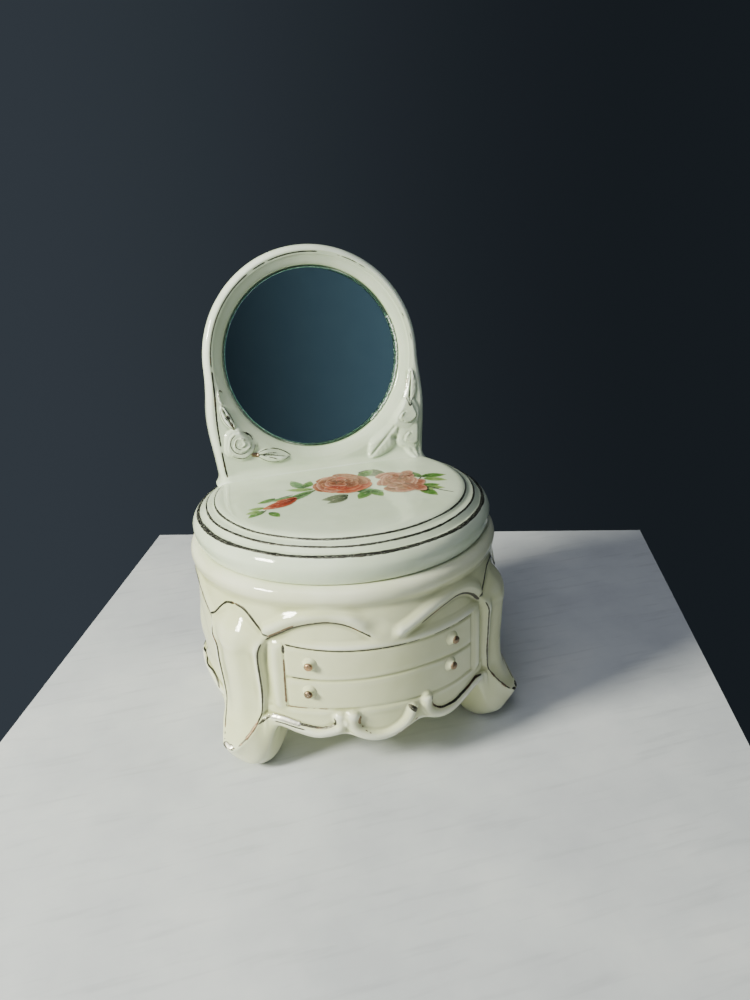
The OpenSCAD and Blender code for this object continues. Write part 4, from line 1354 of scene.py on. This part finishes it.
# %% [markdown]
# ## Crumbs of cement at the glass's edge
#
# Clear cement squeezed out along the lower right of the glass and set in small beads that catch the
# light. A node tree scatters them along an arc, each with its own size, from a fixed seed.

# %% Cement beads
bead_tree, bead_in, bead_out = new_tree("cement_beads", [("Count", "NodeSocketInt"),
                                                         ("Size", "NodeSocketFloat"),
                                                         ("Finish", "NodeSocketMaterial")])
squeeze = add(bead_tree, "GeometryNodeMeshToCurve", Mesh=bead_in.outputs["Geometry"])
dotted = add(bead_tree, "GeometryNodeResampleCurve", {"mode": "COUNT"}, Curve=squeeze.outputs[0],
             Count=bead_in.outputs["Count"])
ball = add(bead_tree, "GeometryNodeMeshIcoSphere", Radius=1.0, Subdivisions=2)
sizes = add(bead_tree, "FunctionNodeRandomValue", {"data_type": "FLOAT"}, Min=0.35, Max=1.0, Seed=4)
bigness = add(bead_tree, "ShaderNodeMath", {"operation": "MULTIPLY"}, in0=sizes.outputs[1],
              in1=bead_in.outputs["Size"])
jitter = add(bead_tree, "FunctionNodeRandomValue", {"data_type": "FLOAT_VECTOR"}, Min=(-0.0002,) * 3,
             Max=(0.0002,) * 3, Seed=9)
shaken = add(bead_tree, "GeometryNodeSetPosition", Geometry=dotted.outputs[0], Offset=jitter.outputs[0])
scattered = add(bead_tree, "GeometryNodeInstanceOnPoints", Points=shaken.outputs[0],
                Instance=ball.outputs[0], Scale=bigness.outputs[0])
beads_real = add(bead_tree, "GeometryNodeRealizeInstances", Geometry=scattered.outputs[0])
beads_smooth = add(bead_tree, "GeometryNodeSetShadeSmooth", Geometry=beads_real.outputs[0],
                   Shade_Smooth=True)
beads_paint = add(bead_tree, "GeometryNodeSetMaterial", Geometry=beads_smooth.outputs[0],
                  Material=bead_in.outputs["Finish"])
bead_tree.links.new(beads_paint.outputs[0], bead_out.inputs[0])
EDGE_R = 35.0
t = np.linspace(math.radians(-52), math.radians(22), 60)
arc = from_frame(EDGE_R * np.cos(t), EDGE_R * np.sin(t), np.full(60, 0.1)) * MM
arc_mesh = bpy.data.meshes.new("cement_arc")
arc_mesh.from_pydata([tuple(p) for p in arc], [(k, k + 1) for k in range(59)], [])
arc_thing = show("cement_arc", arc_mesh)
cement_beads = run_tree(arc_thing, bead_tree, {"Count": 150, "Size": 0.42 * MM, "Finish": cement},
                        "cement_beads")
print("cement beads:", len(cement_beads.data.polygons), "faces")

# %% [markdown]
# ## Finishes on the pieces
#
# Each casting takes its glaze. The foot rings were wiped clean before firing, so faces that touch the
# shelf are bare clay, and the glass's rim takes the ground finish.

# %% Assign materials
CLAY_BELOW = 0.35
GROUND_FROM = 34.6
for thing, *finishes in ((base_casting, base_glaze, bisque), (lid_casting, lid_glaze),
                         (frame_casting, lid_glaze), (glass_disc, glass, ground_edge),
                         (cement_bed, cement)):
    for material in finishes:
        thing.data.materials.append(material)
for face in base_casting.data.polygons:
    if face.center.z < CLAY_BELOW * MM:
        face.material_index = 1
middle = Vector(from_frame(np.array(0.0), np.array(0.0), np.array(-1.0)).tolist()) * MM
for face in glass_disc.data.polygons:
    if (face.center - middle).length > GROUND_FROM * MM:
        face.material_index = 1
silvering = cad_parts["mirror_silvering"]
silvering.data.materials.clear()
silvering.data.materials.append(silver)
print("bare clay faces:", sum(f.material_index == 1 for f in base_casting.data.polygons))

# %% Bodies, slots and replaced nodes
slots = {
    ("base", "base_porcelain"): (base_casting, knob_bodies),
    ("base", "gilding"): (knob_gold, base_gold, base_orange, base_painted_sheen),
    ("lid", "lid_porcelain"): (lid_casting, frame_casting),
    ("lid", "gilding"): (lid_gold, frame_gold, frame_orange),
    ("lid", "glass"): (glass_disc,),
    ("lid", "cement"): (cement_bed, cement_beads),
    ("lid", "transfer"): (transfer,)}
for (body, slot), pieces in slots.items():
    for piece in pieces:
        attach(piece, body)
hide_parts("base_bowl", "front_apron", "rear_apron", "left_apron", "right_apron",
            "front_left_leg", "front_right_leg", "rear_left_leg", "rear_right_leg", "upper_drawer_front",
            "lower_drawer_front", "front_scroll", "rear_scroll")
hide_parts("drawer_knobs")
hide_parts("base_gilding")
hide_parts("lid_disc")
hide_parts("lid_gilding")
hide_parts("mirror_frame", "left_rose_relief", "right_rose_relief")
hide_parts("frame_gilding")
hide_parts("mirror_glass")
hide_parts("mirror_cement")
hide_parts("rose_decal")

# %% [markdown]
# ## The board, the light and the camera
#
# The box stands on a pale, slightly mottled board. A soft window-like light comes from the upper left,
# and two wide dim ones fill from above and in front. Beyond the board it is dark slate, so the gold
# reads dark and the mirror shows a quiet blue-grey.

# %% Board
BOARD_THICK = 0.012
BOARD_DEEP = 560
BOARD_TURN = math.radians(21)
left_far, right_far = Vector((-66.7, 203.3)), Vector((199.3, 100.4))
along = (right_far - left_far).normalized()
towards = Vector((along.y, -along.x)) * BOARD_DEEP
slab = [left_far, right_far, right_far + towards, left_far + towards]
board_mesh = bpy.data.meshes.new("pale_board")
board_points = [(p.x * MM, p.y * MM, z) for z in (0.0, -BOARD_THICK) for p in slab]
board_sides = [(k, (k + 1) % 4, (k + 1) % 4 + 4, k + 4) for k in range(4)]
board_mesh.from_pydata(board_points, [], [(3, 2, 1, 0), (4, 5, 6, 7)] + board_sides)
board = finish_mesh("pale_board", board_mesh)
for face in board_mesh.polygons:
    face.use_smooth = False
board_paint, tree, shader, place = new_material("pale_painted_board")
cloud = noise(tree, place, 60, 5.0, 0.6)
wash = ramp_node(tree, cloud, [(0.35, "#C3C6CC"), (0.55, "#D1D4D8"), (0.75, "#DFE0E2")])
streak_settings = {"Rotation": (0, 0, BOARD_TURN), "Scale": (0.12, 1.0, 1.0)}
grain_place = add(tree, "ShaderNodeMapping", Vector=place, **streak_settings).outputs[0]
faint = stretch(tree, noise(tree, grain_place, 4.0, 4.0), 0.55, 0.8, 0.0, 0.25)
board_tone = mix(tree, faint, wash, linear("#8E9096"), "MULTIPLY")
tree.links.new(board_tone, shader.inputs["Base Color"])
finish(shader, Roughness=0.6)
board_mesh.materials.append(board_paint)
print("board", round((left_far - right_far).length), "mm wide")

# %% Light and dark slate surroundings


def soft_light(name, place, size, watts, colour):
    """An area light at a place in metres, aimed at the middle of the box."""
    light = bpy.data.lights.new(name, "AREA")
    light.shape = "RECTANGLE"
    light.size, light.size_y = size
    light.energy = watts
    light.color = linear(colour)[:3]
    thing = show(name, light)
    thing.location = place
    aim = Vector((0, 0, 0.08)) - Vector(place)
    thing.rotation_euler = aim.to_track_quat("-Z", "Y").to_euler()


def fade(value, low, high):
    """A soft step in the world's tree: 0 at low and 1 at high."""
    smoothstep = {"interpolation_type": "SMOOTHSTEP"}
    return add(sky, "ShaderNodeMapRange", smoothstep, Value=value, From_Min=low, From_Max=high).outputs[0]


def product(a, b):
    """One value times another in the world's tree."""
    return add(sky, "ShaderNodeMath", {"operation": "MULTIPLY"}, in0=a, in1=b).outputs[0]


soft_light("window", (-0.80, -0.22, 0.50), (0.21, 0.18), 20.5, "#FBFCEA")
soft_light("overhead", (-0.30, -0.35, 1.00), (0.7, 0.6), 3.4, "#F4F8FF")
soft_light("front_fill", (-0.35, -0.85, 0.65), (0.6, 0.5), 1.5, "#F8FAFF")
world = bpy.data.worlds.new("dark_slate_room")
bpy.context.scene.world = world
world.use_nodes = True
sky = world.node_tree
way = sky.nodes.new("ShaderNodeTexCoord").outputs["Generated"]
parts = add(sky, "ShaderNodeSeparateXYZ", Vector=way).outputs
ahead = fade(parts[1], -0.3, -0.8)
glow = product(product(fade(parts[0], 0.05, 0.40), ahead), fade(parts[0], 0.75, 0.42))
back_tone = mix(sky, fade(parts[0], -0.15, 0.55), linear("#363D44"), linear("#1C2126"))
front_tone = mix(sky, ahead, back_tone, linear("#1C242B"))
room = mix(sky, glow, front_tone, linear("#566F80"))
sky.links.new(room, sky.nodes["Background"].inputs["Color"])
sky.nodes["Background"].inputs["Strength"].default_value = 1.0
print("three soft lights")

# %% Camera
camera = show("camera", bpy.data.cameras.new("camera"))
camera.data.lens = 31.5
turn, pitch, roll = math.radians(-15.53), math.radians(21.11), math.radians(-2.83)
level_right = Vector((math.cos(turn), math.sin(turn), 0))
backwards = Vector((math.sin(turn) * math.cos(pitch), -math.cos(turn) * math.cos(pitch), math.sin(pitch)))
level_up = backwards.cross(level_right)
right = level_right * math.cos(roll) + level_up * math.sin(roll)
upward = level_up * math.cos(roll) - level_right * math.sin(roll)
stand = Vector((-0.07134, -0.30524, 0.20556))
camera_rows = zip(right, upward, backwards, stand)
camera.matrix_world = Matrix([*camera_rows, (0, 0, 0, 1)])
bpy.context.scene.camera = camera
print("camera stands", round(stand.length * 1000), "mm away")
